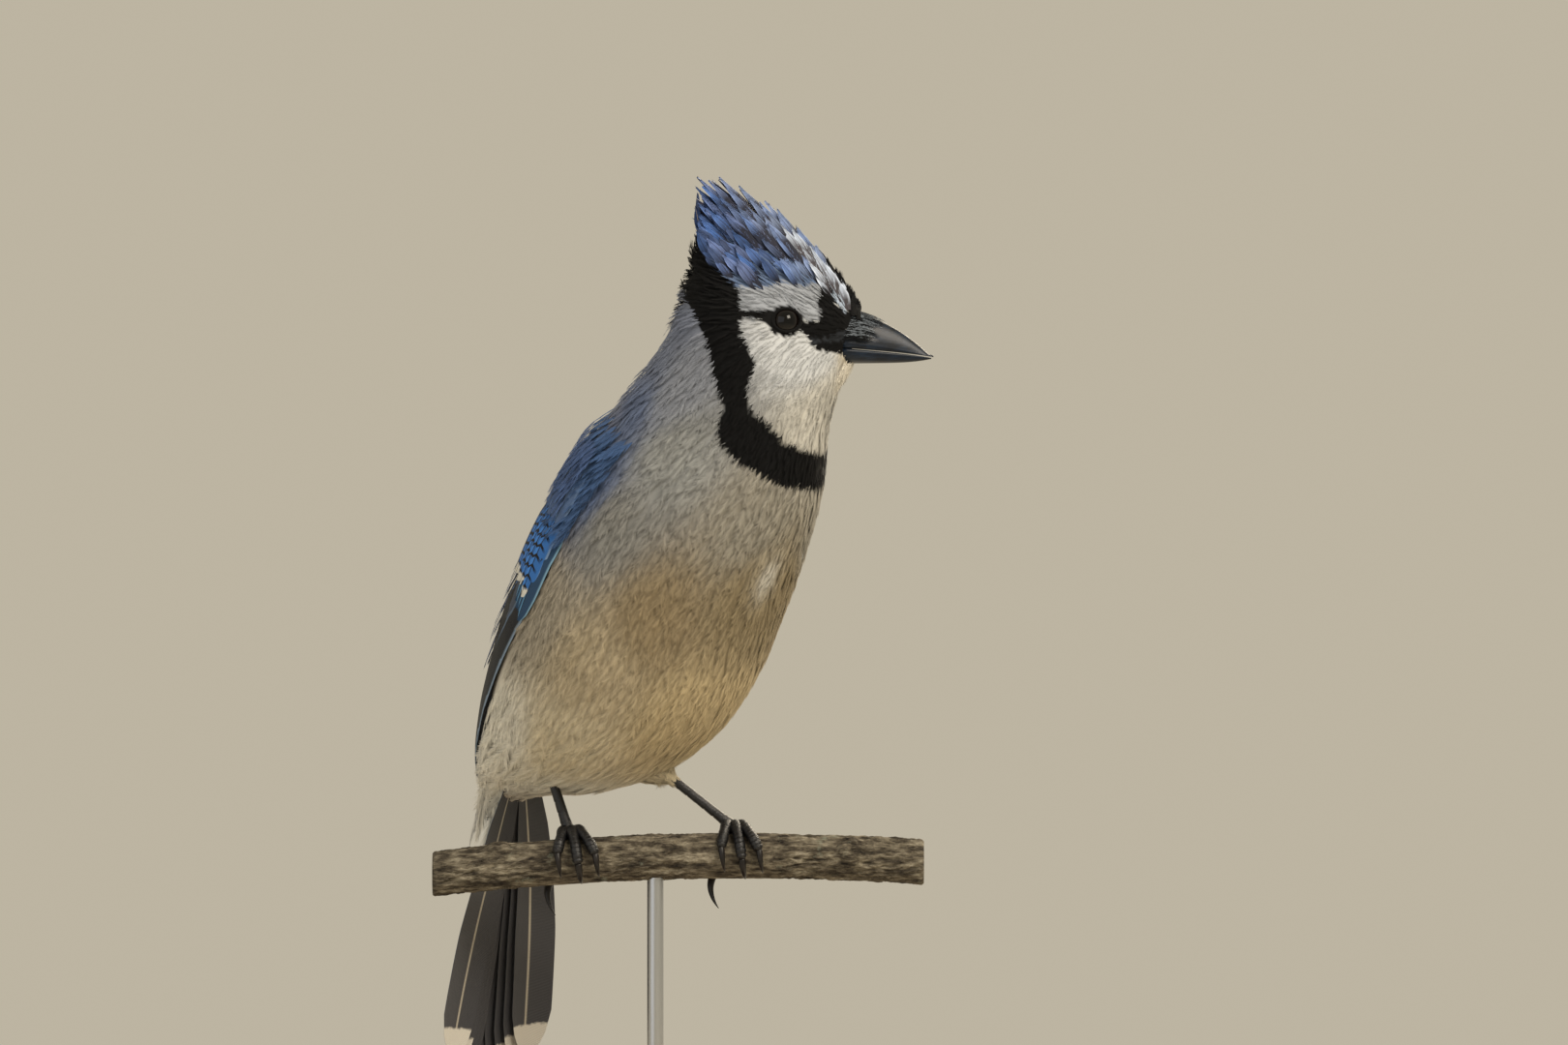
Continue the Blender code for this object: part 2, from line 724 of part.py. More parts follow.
def build_head(collection, tools):
    """Head with crest, nasal bristles and lids, cut for the eyes, the bill and the mouth line."""
    rings = [lifted_ring(HEAD_START, HEAD_SIDES, GAP)]
    top = len(TRUNK) - 1
    rings += trunk_rings(HEAD_START + HEAD_RING_STEP, top, HEAD_RING_STEP, HEAD_SIDES)
    head = mesh_object("head", loft(rings), collection)
    pieces = crest_vanes(collection) + nape_vanes(collection) + bristle_vanes(collection)
    pieces += [lid_ring(side, collection) for side in (-1.0, 1.0)]
    join_pieces(head, pieces, "MANIFOLD")
    cutters = [ball(f"socket_{s:+.0f}", eye_frame(s)[0], EYE_RADIUS + GAP, tools) for s in (-1.0, 1.0)]
    cutters.append(bill_half("bill_tool_upper", True, GAP, tools))
    cutters.append(bill_half("bill_tool_lower", False, GAP, tools))
    cutters += [mouth_groove(side, tools) for side in (-1.0, 1.0)]
    cut(head, cutters, "MANIFOLD")
    return head


def build_eyes(collection):
    """Eyeballs, set as deep in the head as the lids leave them."""
    eyes = []
    for name, side in (("eye_right", -1.0), ("eye_left", 1.0)):
        centre, _, turn = eye_frame(side)
        eyes.append(ball(name, centre, EYE_RADIUS, collection, turn))
    return eyes


def build_bill(collection, tools):
    """Upper and lower bill, the upper with a nostril pit on each side."""
    upper = bill_half("bill_upper", True, 0.0, collection)
    lower = bill_half("bill_lower", False, 0.0, collection)
    pits = []
    for side in (-1.0, 1.0):
        place = Vector((NOSTRIL_X, HEAD_MID_Y + side * 4.0, NOSTRIL_Z))
        name = f"nostril_{side:+.0f}"
        pits.append(ball(name, place, 1.0, tools, stretch=(1.5, 1.0, 0.7), segments=10, rings=6))
    cut(upper, pits)
    return upper, lower


def tail_axes():
    """Unit vectors of the tail: along it to its tip, to its right side, and towards its underside."""
    back = -heading(BODY_YAW)
    lean = math.radians(TAIL_LEAN_BACK)
    along = (back * math.sin(lean) - Vector((0.0, 0.0, 1.0)) * math.cos(lean)).normalized()
    right = heading(BODY_YAW + 90.0)
    under = right.cross(along)
    if under.dot(back) > 0:
        under.negate()
    return along, right, under


def tail_half_width(distance):
    """Half width of the closed tail at a distance from its root."""
    return TAIL_ROOT_WIDTH + TAIL_SPREAD * max(0.0, distance / TAIL_LENGTH) ** 1.15


def tail_rings(start, stop, count, grow):
    """Rings round the tail's root, as wide as the feathers that leave it."""
    along, right, under = tail_axes()
    rings = []
    for k in range(count + 1):
        distance = start + (stop - start) * k / count
        end = min(1.0, 0.55 + 0.45 * (distance + TAIL_SUNK) / 3.0)
        wide = tail_half_width(distance) * end + grow
        thick = TAIL_ROOT_THICK * end + grow
        centre = TAIL_ROOT + along * distance + under * TAIL_ROOT_DROP
        ring = []
        for m in range(TAIL_ROOT_SIDES):
            a = 2.0 * math.pi * m / TAIL_ROOT_SIDES
            c = math.copysign(abs(math.cos(a)) ** 0.6, math.cos(a))
            n = math.copysign(abs(math.sin(a)) ** 0.6, math.sin(a))
            ring.append(centre + right * wide * c + under * thick * n)
        rings.append(ring)
    return rings


def tail_socket(collection):
    """Tool that opens the torso's end for the tail's root."""
    rings = tail_rings(-TAIL_SUNK, 40.0, 12, 0.0)
    return mesh_object("tail_socket", loft(rings), collection)


def build_tail(collection):
    """Twelve tail feathers in mirrored pairs, the middle pair on top, fanned a little."""
    along, right, under = tail_axes()
    tail = mesh_object("tail", loft(tail_rings(-TAIL_SUNK + 1.0, 14.0, 6, -1.0)), collection)
    pieces = []
    stations = len(TAIL_VANE.widths)
    for pair in range(TAIL_PAIRS):
        share = pair / (TAIL_PAIRS - 1)
        for side in (-1.0, 1.0):
            fan = math.radians(side * (0.8 + TAIL_FAN * share))
            aim = along * math.cos(fan) + right * math.sin(fan)
            across = right * math.cos(fan) - along * math.sin(fan)
            roll = math.radians(TAIL_ROLL) * side
            level = TAIL_LEVEL * (pair - 1.6) + 0.2 * side
            reach = TAIL_LENGTH * (1.0 - 0.075 * share ** 2)
            face = (-under * math.cos(roll) + across * math.sin(roll)).normalized()
            path = []
            for k in range(stations):
                s = k / (stations - 1)
                sweep = across * side * (2.6 * share * math.sin(math.pi * s))
                droop = under * (level * min(1.0, 0.35 + 1.6 * s) + 1.6 + 2.2 * s * s)
                path.append(TAIL_ROOT + aim * (5.0 + (reach - 5.0) * s) + sweep + droop)
            name = f"rectrix_{pair}_{side:+.0f}"
            bm = vane_bmesh(TAIL_VANE, path, [face] * stations, TAIL_FEATHER_WIDTH)
            pieces.append(mesh_object(name, bm, collection))
    join_pieces(tail, pieces)
    return tail


@dataclass(frozen=True)
class FeatherRow:
    """One tier of a folded wing, from its lower edge to its upper edge.

    Places are (t, angle) on the wing's bed; height is how far the row stands off the trunk.
    """

    name: str
    count: int
    root_low: tuple
    root_high: tuple
    tip_low: tuple
    tip_high: tuple
    tip_bulge: float
    width: float
    height: tuple
    shape: Vane


WING_ROWS = (
    FeatherRow(
        "primary", 7, (5.4, 110), (5.2, 140), (3.4, 131), (0.7, 168), 1.2, 10.5, (1.6, 2.4), FLIGHT_VANE
    ),
    FeatherRow(
        "secondary", 4, (5.6, 123), (5.6, 152), (3.0, 146), (2.3, 170), 0.1, 12.0, (2.3, 2.9), FLIGHT_VANE
    ),
    FeatherRow(
        "tertial", 3, (6.1, 147), (6.3, 160), (3.1, 160), (3.0, 173), -0.3, 13.0, (3.0, 3.4), FLIGHT_VANE
    ),
    FeatherRow(
        "primary_covert", 2,
        (6.3, 114), (6.4, 120), (4.9, 111), (4.8, 119), 0.0, 8.5, (1.9, 2.2), COVERT_VANE
    ),
    FeatherRow(
        "greater_covert", 5,
        (6.3, 120), (6.4, 150), (4.7, 115), (4.5, 157), -0.1, 11.0, (2.4, 3.1), COVERT_VANE
    ),
    FeatherRow(
        "median_covert", 4,
        (6.95, 125), (7.1, 150), (5.8, 115), (5.7, 152), -0.1, 11.5, (2.6, 3.3), COVERT_VANE
    ),
)

# The folded wing's lower edge, where the flank feathers cover it: place along the trunk and angle
WING_EDGE = (
    (7.7, 125.0), (6.7, 113.0), (5.7, 107.0), (4.9, 110.0), (4.3, 116.0), (3.4, 131.0), (2.4, 144.0),
)
WING_SLAB_END = 2.6
WING_SLAB_LIFT = 0.45
WING_SLAB_EDGE = 0.5
WING_SLAB_CROWN = 1.9


def wing_edge_angle(t):
    """Angle of the folded wing's lower edge at place t."""
    for (t0, a0), (t1, a1) in zip(WING_EDGE, WING_EDGE[1:]):
        if t >= t1:
            return a0 + (a1 - a0) * (t0 - t) / (t0 - t1)
    return WING_EDGE[-1][1]


def wing_slab(name, mirror, collection):
    """Solid of the folded wing's arm and inner feathers, which carries the outer vanes."""
    outer = []
    inner = []
    stations = frange(WING_EDGE[0][0], WING_SLAB_END, 0.45)
    for k, t in enumerate(stations):
        s = k / (len(stations) - 1)
        lower = wing_edge_angle(t) + 3.0
        upper = 147.0 + 25.0 * s ** 0.6
        swell = math.sin(math.pi * min(1.0, 0.1 + 0.8 * s)) ** 0.5
        top = []
        low = []
        for j in range(6):
            u = j / 5.0
            angle = lower + (upper - lower) * u
            angle = 360.0 - angle if mirror else angle
            crown = (1.0 - (2.0 * u - 1.0) ** 4) * swell
            top.append(bed_point(t, angle, WING_SLAB_LIFT + WING_SLAB_EDGE + WING_SLAB_CROWN * crown))
            low.append(bed_point(t, angle, WING_SLAB_LIFT))
        outer.append(top)
        inner.append(low)
    return mesh_object(name, plate(outer, inner), collection)


VANE_ROOT_SINK = 2.2
VANE_ROOT_SHARE = 0.45
WING_ROOT_FLOOR = 1.5


def wing_vanes(row, mirror, draw, collection):
    """Vanes of one tier of a wing, each a little higher than the one below it."""
    pieces = []
    stations = len(row.shape.widths)
    for k in range(row.count):
        u = k / max(1, row.count - 1)
        root = [a + (b - a) * u for a, b in zip(row.root_low, row.root_high)]
        tip = [a + (b - a) * u for a, b in zip(row.tip_low, row.tip_high)]
        tip[0] -= row.tip_bulge * math.sin(math.pi * u) - draw.uniform(-0.06, 0.06)
        lift = row.height[0] + (row.height[1] - row.height[0]) * u
        path = []
        normals = []
        for m in range(stations):
            s = m / (stations - 1)
            t = root[0] + (tip[0] - root[0]) * s
            angle = root[1] + (tip[1] - root[1]) * s
            angle = 360.0 - angle if mirror else angle
            stand = lift - VANE_ROOT_SINK * max(0.0, 1.0 - s / VANE_ROOT_SHARE)
            point = bed_point(t, angle, max(stand, WING_ROOT_FLOOR))
            out = bed_point(t, angle, lift + 1.0) - point
            path.append(point)
            normals.append(out.normalized())
        shingle = math.radians(4.0) * (1.0 if mirror else -1.0)
        turned = []
        for m, normal in enumerate(normals):
            along = (path[min(m + 1, stations - 1)] - path[max(m - 1, 0)]).normalized()
            turned.append(Matrix.Rotation(shingle, 3, along) @ normal)
        name = f"{row.name}_{k}"
        pieces.append(mesh_object(name, vane_bmesh(row.shape, path, turned, row.width), collection))
    return pieces


def build_wing(name, mirror, collection):
    """Folded wing: the arm's slab with tiers of flight feathers and coverts."""
    draw = random.Random(5)
    wing = wing_slab(name, mirror, collection)
    pieces = []
    for row in WING_ROWS:
        pieces += wing_vanes(row, mirror, draw, collection)
    join_pieces(wing, pieces)
    return wing


def perch_height(x):
    """Height of the perch's centre line, a gently arched branch."""
    return PERCH_CROWN_Z - PERCH_SAG * (x - PERCH_CROWN_X) ** 2


def grip_point(x, angle, radius):
    """Point round the perch; 0 degrees faces -Y, 90 is its top, 180 its back."""
    a = math.radians(angle)
    return Vector((x, -radius * math.cos(a), perch_height(x) + radius * math.sin(a)))


@dataclass(frozen=True)
class Toe:
    """A toe that wraps round the perch, and its claw."""

    name: str
    start_x: float
    end_x: float
    start_angle: float
    end_angle: float
    claw_sweep: float
    claw_radius: float


TOES = (
    Toe("inner", -1.2, -3.4, 108.0, 18.0, -58.0, 1.05),
    Toe("middle", 0.4, 3.0, 108.0, -6.0, -60.0, 1.15),
    Toe("outer", 1.8, 8.2, 108.0, 12.0, -56.0, 1.05),
    Toe("hind", -0.8, -6.0, 92.0, 226.0, 40.0, 1.3),
)
TOE_STEPS = 6
CLAW_STEPS = 4


def toe_path(toe, foot_x):
    """Points and radii of a toe, with a soft swelling at each joint."""
    path = []
    radii = []
    for k in range(TOE_STEPS + 1):
        s = k / TOE_STEPS
        angle = toe.start_angle + (toe.end_angle - toe.start_angle) * s
        x = foot_x + toe.start_x + (toe.end_x - toe.start_x) * s
        radius = TOE_RADIUS * (1.08 - 0.3 * s + 0.09 * math.sin(3.0 * math.pi * s))
        path.append(grip_point(x, angle, PERCH_RADIUS + GAP + radius))
        radii.append(radius)
    return path, radii


def claw_path(toe, foot_x):
    """Points and radii of a claw that carries on from its toe's end."""
    toe_points, toe_radii = toe_path(toe, foot_x)
    away = (toe_points[-1] - toe_points[-2]).normalized()
    start = toe_points[-1] + away * GAP
    path = []
    radii = []
    if toe.name == "hind":
        drop = Vector((0.05, 0.0, -1.0))
        length = 12.0
        for k in range(CLAW_STEPS + 1):
            s = k / CLAW_STEPS
            bend = away.lerp(drop, min(1.0, 1.7 * s)).normalized()
            point = start if not path else path[-1] + bend * (length / CLAW_STEPS)
            point = point + Vector((0.12 * s, -0.5 * s if path else 0.0, 0.0))
            path.append(point)
            radii.append(toe.claw_radius * (1.0 - 0.82 * s))
        return path, radii
    for k in range(CLAW_STEPS + 1):
        s = k / CLAW_STEPS
        radius = toe.claw_radius * (1.0 - 0.8 * s)
        angle = toe.end_angle + toe.claw_sweep * s
        x = foot_x + toe.end_x + 1.2 * s
        hug = PERCH_RADIUS + GAP + radius + (toe_radii[-1] - toe.claw_radius) * (1.0 - s)
        bulge = 0.9 * math.sin(math.pi * s)
        point = grip_point(x, angle, hug + bulge)
        path.append(point + away * (GAP if k == 0 else GAP * (1.0 - s)))
        radii.append(radius)
    return path, radii


def tarsus_path(foot_x, ankle):
    """Points and radii of the bare lower leg, from the foot up to the ankle."""
    foot = grip_point(foot_x, 104.0, PERCH_RADIUS + GAP + TOE_RADIUS * 1.15)
    path = [foot.lerp(ankle, k / 4.0) for k in range(5)]
    radii = [TARSUS_RADIUS * f for f in (1.35, 1.05, 0.98, 1.05, 1.35)]
    return path, radii


def build_leg(side, foot_x, ankle, collection):
    """Leg's bare part: the lower leg with four toes round the perch, and four claws."""
    leg = tube(f"leg_{side}", *tarsus_path(foot_x, ankle), collection)
    foot = tarsus_path(foot_x, ankle)[0][0]
    knuckle = ball(f"knuckle_{side}", foot, TOE_RADIUS * 1.12, collection, segments=10, rings=7)
    toes = [tube(f"{toe.name}_{side}", *toe_path(toe, foot_x), collection) for toe in TOES]
    join_pieces(leg, [knuckle] + toes)
    claws = []
    for toe in TOES:
        claws.append(tube(f"claw_{side}_{toe.name}", *claw_path(toe, foot_x), collection, resolution=1))
    return leg, claws


def build_perch(collection, tools):
    """Cut length of branch, faintly uneven, with a blind hole for the rod."""
    draw = random.Random(3)
    rings = []
    for k in range(PERCH_RINGS + 1):
        x = PERCH_LEFT + (PERCH_RIGHT - PERCH_LEFT) * k / PERCH_RINGS
        near_foot = min(abs(x - RIGHT_FOOT_X - 1.0), abs(x - LEFT_FOOT_X - 1.0)) < 13.0
        ring = []
        for m in range(PERCH_SIDES):
            a = 2 * math.pi * m / PERCH_SIDES
            uneven = 0.0 if near_foot else draw.uniform(-0.35, 0.25)
            r = PERCH_RADIUS + uneven
            ring.append(Vector((x, r * math.cos(a), perch_height(x) + r * math.sin(a))))
        rings.append(ring)
    perch = mesh_object("perch", loft(rings), collection)
    bore_top = perch_height(ROD_X) - PERCH_RADIUS + ROD_HEAD_IN_PERCH + GAP
    bore = rod("perch_bore", ROD_X, ROD_RADIUS + GAP, bore_top - 15.0, bore_top, tools)
    cut(perch, [bore])
    return perch


def build_stand(collection, tools):
    """Turned base, a plain steel rod and the collar round its foot."""
    profile = [
        (0.0, BASE_HEIGHT),
        (BASE_RADIUS - 2.0 * BASE_EDGE, BASE_HEIGHT),
        (BASE_RADIUS - 1.6 * BASE_EDGE, BASE_HEIGHT - BASE_STEP),
    ]
    for k in range(6):
        a = math.radians(90.0 - 90.0 * k / 5.0)
        profile.append((
            BASE_RADIUS - 1.5 * BASE_EDGE + 1.5 * BASE_EDGE * math.cos(a),
            BASE_HEIGHT - BASE_STEP - 1.5 * BASE_EDGE + 1.5 * BASE_EDGE * math.sin(a),
        ))
    profile += [(BASE_RADIUS, 1.2), (BASE_RADIUS - 1.2, 0.0), (0.0, 0.0)]
    mesh = bpy.data.meshes.new("stand_base")
    edges = [(k, k + 1) for k in range(len(profile) - 1)]
    mesh.from_pydata([(x * MM, 0.0, z * MM) for x, z in profile], edges, [])
    base = bpy.data.objects.new("stand_base", mesh)
    collection.objects.link(base)
    screw = base.modifiers.new("turn", "SCREW")
    screw.steps = BASE_SIDES
    screw.render_steps = BASE_SIDES
    screw.use_merge_vertices = True
    screw.merge_threshold = 0.00005
    apply_modifiers(base)
    base_bore = rod("base_bore", ROD_X, ROD_RADIUS + GAP, ROD_FOOT - GAP, BASE_HEIGHT + 10.0, tools)
    cut(base, [base_bore])
    top = perch_height(ROD_X) - PERCH_RADIUS + ROD_HEAD_IN_PERCH
    post = rod("stand_rod", ROD_X, ROD_RADIUS, ROD_FOOT, top, collection)
    low = BASE_HEIGHT + GAP
    collar = rod("stand_collar", ROD_X, COLLAR_RADIUS, low, low + COLLAR_HEIGHT, collection)
    collar_bore = rod("collar_bore", ROD_X, ROD_RADIUS + GAP, low - 5.0, low + COLLAR_HEIGHT + 5.0, tools)
    cut(collar, [collar_bore])
    return base, post, collar


def main():
    """Build every part of the bird, its perch and its stand."""
    for obj in list(bpy.data.objects):
        bpy.data.objects.remove(obj)
    parts = bpy.data.collections.new("blue_jay")
    tools = bpy.data.collections.new("cutters")
    for group in (parts, tools):
        bpy.context.scene.collection.children.link(group)

    torso = build_torso(parts)
    neck = build_neck(parts)
    head = build_head(parts, tools)
    eyes = build_eyes(parts)
    bill = build_bill(parts, tools)
    tail = build_tail(parts)
    wings = [build_wing("wing_right", False, parts), build_wing("wing_left", True, parts)]
    right_leg, right_claws = build_leg("right", RIGHT_FOOT_X, RIGHT_ANKLE, parts)
    left_leg, left_claws = build_leg("left", LEFT_FOOT_X, LEFT_ANKLE, parts)
    sockets = [tail_socket(tools)]
    for side, foot_x, ankle in LEGS:
        path, radii = tarsus_path(foot_x, ankle)
        path.append(path[-1] + (path[-1] - path[-2]).normalized() * GAP)
        radii = [r + GAP for r in radii] + [radii[-1] + GAP]
        sockets.append(tube(f"leg_socket_{side}", path, radii, tools))
    cut(torso, sockets)
    perch = build_perch(parts, tools)
    base, post, collar = build_stand(parts, tools)

    for obj in (torso, neck):
        finish(obj, GREY, 0.85)
    for obj in [head, tail] + wings:
        finish(obj, BLUE, 0.7, sharp=25.0)
    for obj in eyes:
        finish(obj, EYE_GLASS, 0.08)
    for obj in list(bill) + [right_leg, left_leg] + right_claws + left_claws:
        finish(obj, HORN, 0.35)
    finish(perch, BARK, 0.9)
    finish(base, WALNUT, 0.4)
    for obj in (post, collar):
        finish(obj, STEEL, 0.3, 1.0)
    for tool in tools.objects:
        tool.hide_render = True
        tool.display_type = "WIRE"


main()
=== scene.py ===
"""Plumage, bill, eyes, feet, perch and stand of a life-size blue jay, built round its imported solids.

Lengths are in millimetres and angles in degrees until a mesh is made, when MM turns them to metres.
A place on the body is (t, angle): t runs up the trunk from the tail's root to the crown, and the
angle runs round it from the middle of the belly (0) over the bird's right side (90) to its back (180).
"""

import logging
import math
from dataclasses import dataclass, field
from enum import Enum

import bpy
import numpy as np
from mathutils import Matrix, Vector, noise


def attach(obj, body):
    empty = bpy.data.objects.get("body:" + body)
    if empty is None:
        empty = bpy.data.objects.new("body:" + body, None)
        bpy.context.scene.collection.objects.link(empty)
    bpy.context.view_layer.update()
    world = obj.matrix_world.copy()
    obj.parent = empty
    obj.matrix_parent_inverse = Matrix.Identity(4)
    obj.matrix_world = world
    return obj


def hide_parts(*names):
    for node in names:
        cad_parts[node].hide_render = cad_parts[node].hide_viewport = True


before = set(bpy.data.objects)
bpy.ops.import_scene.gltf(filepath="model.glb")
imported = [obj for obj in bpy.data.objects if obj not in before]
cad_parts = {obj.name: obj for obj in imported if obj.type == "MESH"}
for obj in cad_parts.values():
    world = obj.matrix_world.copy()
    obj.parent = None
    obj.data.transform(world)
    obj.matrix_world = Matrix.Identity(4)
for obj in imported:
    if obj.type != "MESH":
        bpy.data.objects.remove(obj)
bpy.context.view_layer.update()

MM = 0.001
Array = np.ndarray
Rng = np.random.Generator
Shell = tuple[Array, Array]
Pair = tuple[float, float]
Spot = tuple[float, float, float]
Outline = tuple[Pair, ...]
Piece = bpy.types.Object
Material = bpy.types.Material
Looks = dict[str, Material]
Tree = bpy.types.NodeTree
Feed = bpy.types.NodeSocket | float | tuple[float, ...]
Feeds = dict[str | int, Feed]
log = logging.getLogger("blue_jay")

# The body's cross-sections: x, y, z, pitch, yaw, half width, half depth and taper of each
HEAD_MID_Y = -30.5
TRUNK_ROWS = (
    (-54.0, 36.0, 113.5, 62, 40, 4.5, 3.5, 0.0),
    (-46.5, 29.5, 121.0, 58, 40, 13.5, 12.5, 0.0),
    (-36.0, 20.5, 128.4, 56, 40, 22.5, 23.2, 0.0),
    (-26.2, 12.8, 138.8, 55, 40, 31.2, 32.0, 0.0),
    (-16.0, 4.6, 153.8, 55, 40, 37.0, 38.0, 0.0),
    (-7.4, -2.9, 170.4, 55, 40, 39.0, 40.2, 0.0),
    (0.9, -9.8, 188.4, 55, 40, 37.8, 39.7, 0.0),
    (9.6, -17.6, 206.8, 56, 38, 34.4, 38.2, 0.0),
    (17.6, -25.0, 224.0, 58, 32, 28.6, 35.0, 0.0),
    (23.2, -29.4, 240.4, 63, 18, 22.4, 29.4, 0.03),
    (26.4, HEAD_MID_Y, 249.2, 69, 5, 19.6, 28.2, 0.12),
    (28.9, HEAD_MID_Y, 255.8, 74, 0, 17.8, 28.1, 0.25),
    (30.4, HEAD_MID_Y, 262.8, 79, 0, 16.4, 27.8, 0.25),
    (29.9, HEAD_MID_Y, 269.4, 81, 0, 13.9, 25.0, 0.25),
    (26.8, HEAD_MID_Y, 275.8, 83, 0, 10.4, 20.4, 0.15),
    (22.3, HEAD_MID_Y, 282.0, 85, 0, 6.4, 14.6, 0.1),
    (18.6, HEAD_MID_Y, 286.2, 86, 0, 2.6, 8.6, 0.0),
)
CROWN_T = len(TRUNK_ROWS) - 1
WING_BED_ROWS = (
    (-50.0, 40.5, 94.0, 74, 40, 9.0, 7.5, 0.0),
    (-48.5, 37.0, 107.0, 68, 40, 11.5, 9.5, 0.0),
    (-44.8, 30.5, 119.0, 61, 40, 16.5, 14.6, 0.0),
    (-36.2, 21.0, 128.8, 56, 40, 23.4, 23.8, 0.0),
) + TRUNK_ROWS[3:9]
WING_BED_SHIFT = 1
BACK_FLATNESS = 0.92

# Where the face's feathers part from, and the eyes
FACE_ROOT = np.array([55.0, HEAD_MID_Y, 254.5])
EYE_PLACE = (35.6, 258.2)
EYE_OFFSET = 12.7
EYE_RADIUS = 4.6
EYE_OPENING = 4.15
EYE_SQUINT = 0.84
EYE_FORWARD_TURN = 10.0
EYE_UPWARD_LEAN = 0.12


class Side(Enum):
    """The two sides of the bird, with the sign that each has in the head's frame."""

    RIGHT = -1.0
    LEFT = 1.0


def linear(colour: str) -> Array:
    """Turn an sRGB hex colour to linear light."""
    parts = (int(colour[k:k + 2], 16) / 255 for k in (1, 3, 5))
    return np.array([c / 12.92 if c <= 0.04045 else ((c + 0.055) / 1.055) ** 2.4 for c in parts])


def rgba(colour: str) -> tuple[float, ...]:
    """Turn an sRGB hex colour to linear light with full alpha."""
    return (*linear(colour), 1.0)


def unit(v: Array) -> Array:
    """Scale vectors to length one."""
    return v / np.maximum(np.linalg.norm(v, axis=-1, keepdims=True), 1e-9)


def in_plane(v: Array, normal: Array) -> Array:
    """Part of vectors that lies square to unit normals."""
    return v - normal * np.sum(v * normal, -1, keepdims=True)


def smooth(low: float, high: float, x: Array) -> Array:
    """Ease from 0 at low to 1 at high."""
    u = np.clip((np.asarray(x, float) - low) / (high - low), 0.0, 1.0)
    return u * u * (3.0 - 2.0 * u)


def fold(angle: Array) -> Array:
    """Angle from the belly, 0 to 180, on either side of the bird."""
    return 180.0 - np.abs(180.0 - np.mod(angle, 360.0))


def bake_place(t: Array, angle: Array) -> Array:
    """Place on the unwrap of the skin's own shape, which the OFBake map uses."""
    return np.stack([np.mod(angle, 360.0) / 360.0, np.clip(t / CROWN_T, 0.01, 0.99)], -1)


@dataclass(frozen=True)
class Loft:
    """Smooth run of oval cross-sections."""

    rows: tuple[tuple[float, ...], ...]
    shift: float = 0.0

    def at(self, t: Array) -> Array:
        """Blend the rows at place t by a Catmull-Rom curve.

        Args:
            t: places along the run.

        Returns:
            One row of section values for each place.
        """
        table = np.array(self.rows)
        last = len(table) - 1
        t = np.clip(np.asarray(t, float) + self.shift, 0.0, last)
        i = np.minimum(t.astype(int), last - 1)
        u = (t - i)[..., None]
        b = table[i]
        c = table[i + 1]
        a = np.where((i == 0)[..., None], 2 * b - c, table[np.maximum(i - 1, 0)])
        d = np.where((i == last - 1)[..., None], 2 * c - b, table[np.minimum(i + 2, last)])
        cubic = (2 * a - 5 * b + 4 * c - d) * u ** 2 + (3 * b - a - 3 * c + d) * u ** 3
        return 0.5 * (2 * b + (c - a) * u + cubic)

    def point(self, t: Array, angle: Array, grow: Array = 0.0) -> Array:
        """Points of the surface.

        Args:
            t: places along the run.
            angle: places round it.
            grow: how far the points stand off the surface.

        Returns:
            The points.
        """
        t, angle, grow = np.broadcast_arrays(np.asarray(t, float), angle, grow)
        x, y, z, pitch, yaw, wide, deep, taper = np.moveaxis(self.at(t), -1, 0)
        pitch, yaw, turn = np.radians(pitch), np.radians(yaw), np.radians(angle)
        zero = np.zeros_like(x)
        ahead = np.stack([np.cos(yaw), -np.sin(yaw), zero], -1)
        right = np.stack([-np.sin(yaw), -np.cos(yaw), zero], -1)
        belly = ahead * np.sin(pitch)[..., None] - np.stack([zero, zero, np.cos(pitch)], -1)
        c, s = np.cos(turn), np.sin(turn)
        depth = (deep + grow) * np.where(c < 0, BACK_FLATNESS, 1.0) * c
        width = (wide + grow) * (1.0 - taper * c) * s
        return np.stack([x, y, z], -1) + belly * depth[..., None] + right * width[..., None]

    def surface(self, t: Array, angle: Array) -> tuple[Array, Array, Array]:
        """Points with the surface's outward normal and the direction up the trunk.

        Args:
            t: places along the run.
            angle: places round it.

        Returns:
            Points, normals and upward directions.
        """
        step = 0.02
        p = self.point(t, angle)
        up = unit(self.point(t + step, angle) - self.point(t - step, angle))
        turn = unit(self.point(t, angle + 1.0) - self.point(t, angle - 1.0))
        normal = unit(np.cross(turn, up))
        inward = np.sum(normal * (p - self.at(t)[..., :3]), -1, keepdims=True) < 0
        return p, np.where(inward, -normal, normal), up


TRUNK = Loft(TRUNK_ROWS)
WING_BED = Loft(WING_BED_ROWS, WING_BED_SHIFT)


def bezier(ends: tuple[Array, Array, Array], s: Array) -> Array:
    """Points of a bent curve.

    Args:
        ends: its root, middle handle and tip.
        s: shares of its length.

    Returns:
        One point for each share.
    """
    root, handle, tip = ends
    s = s[..., None]
    return root * (1 - s) ** 2 + handle * 2 * s * (1 - s) + tip * s ** 2


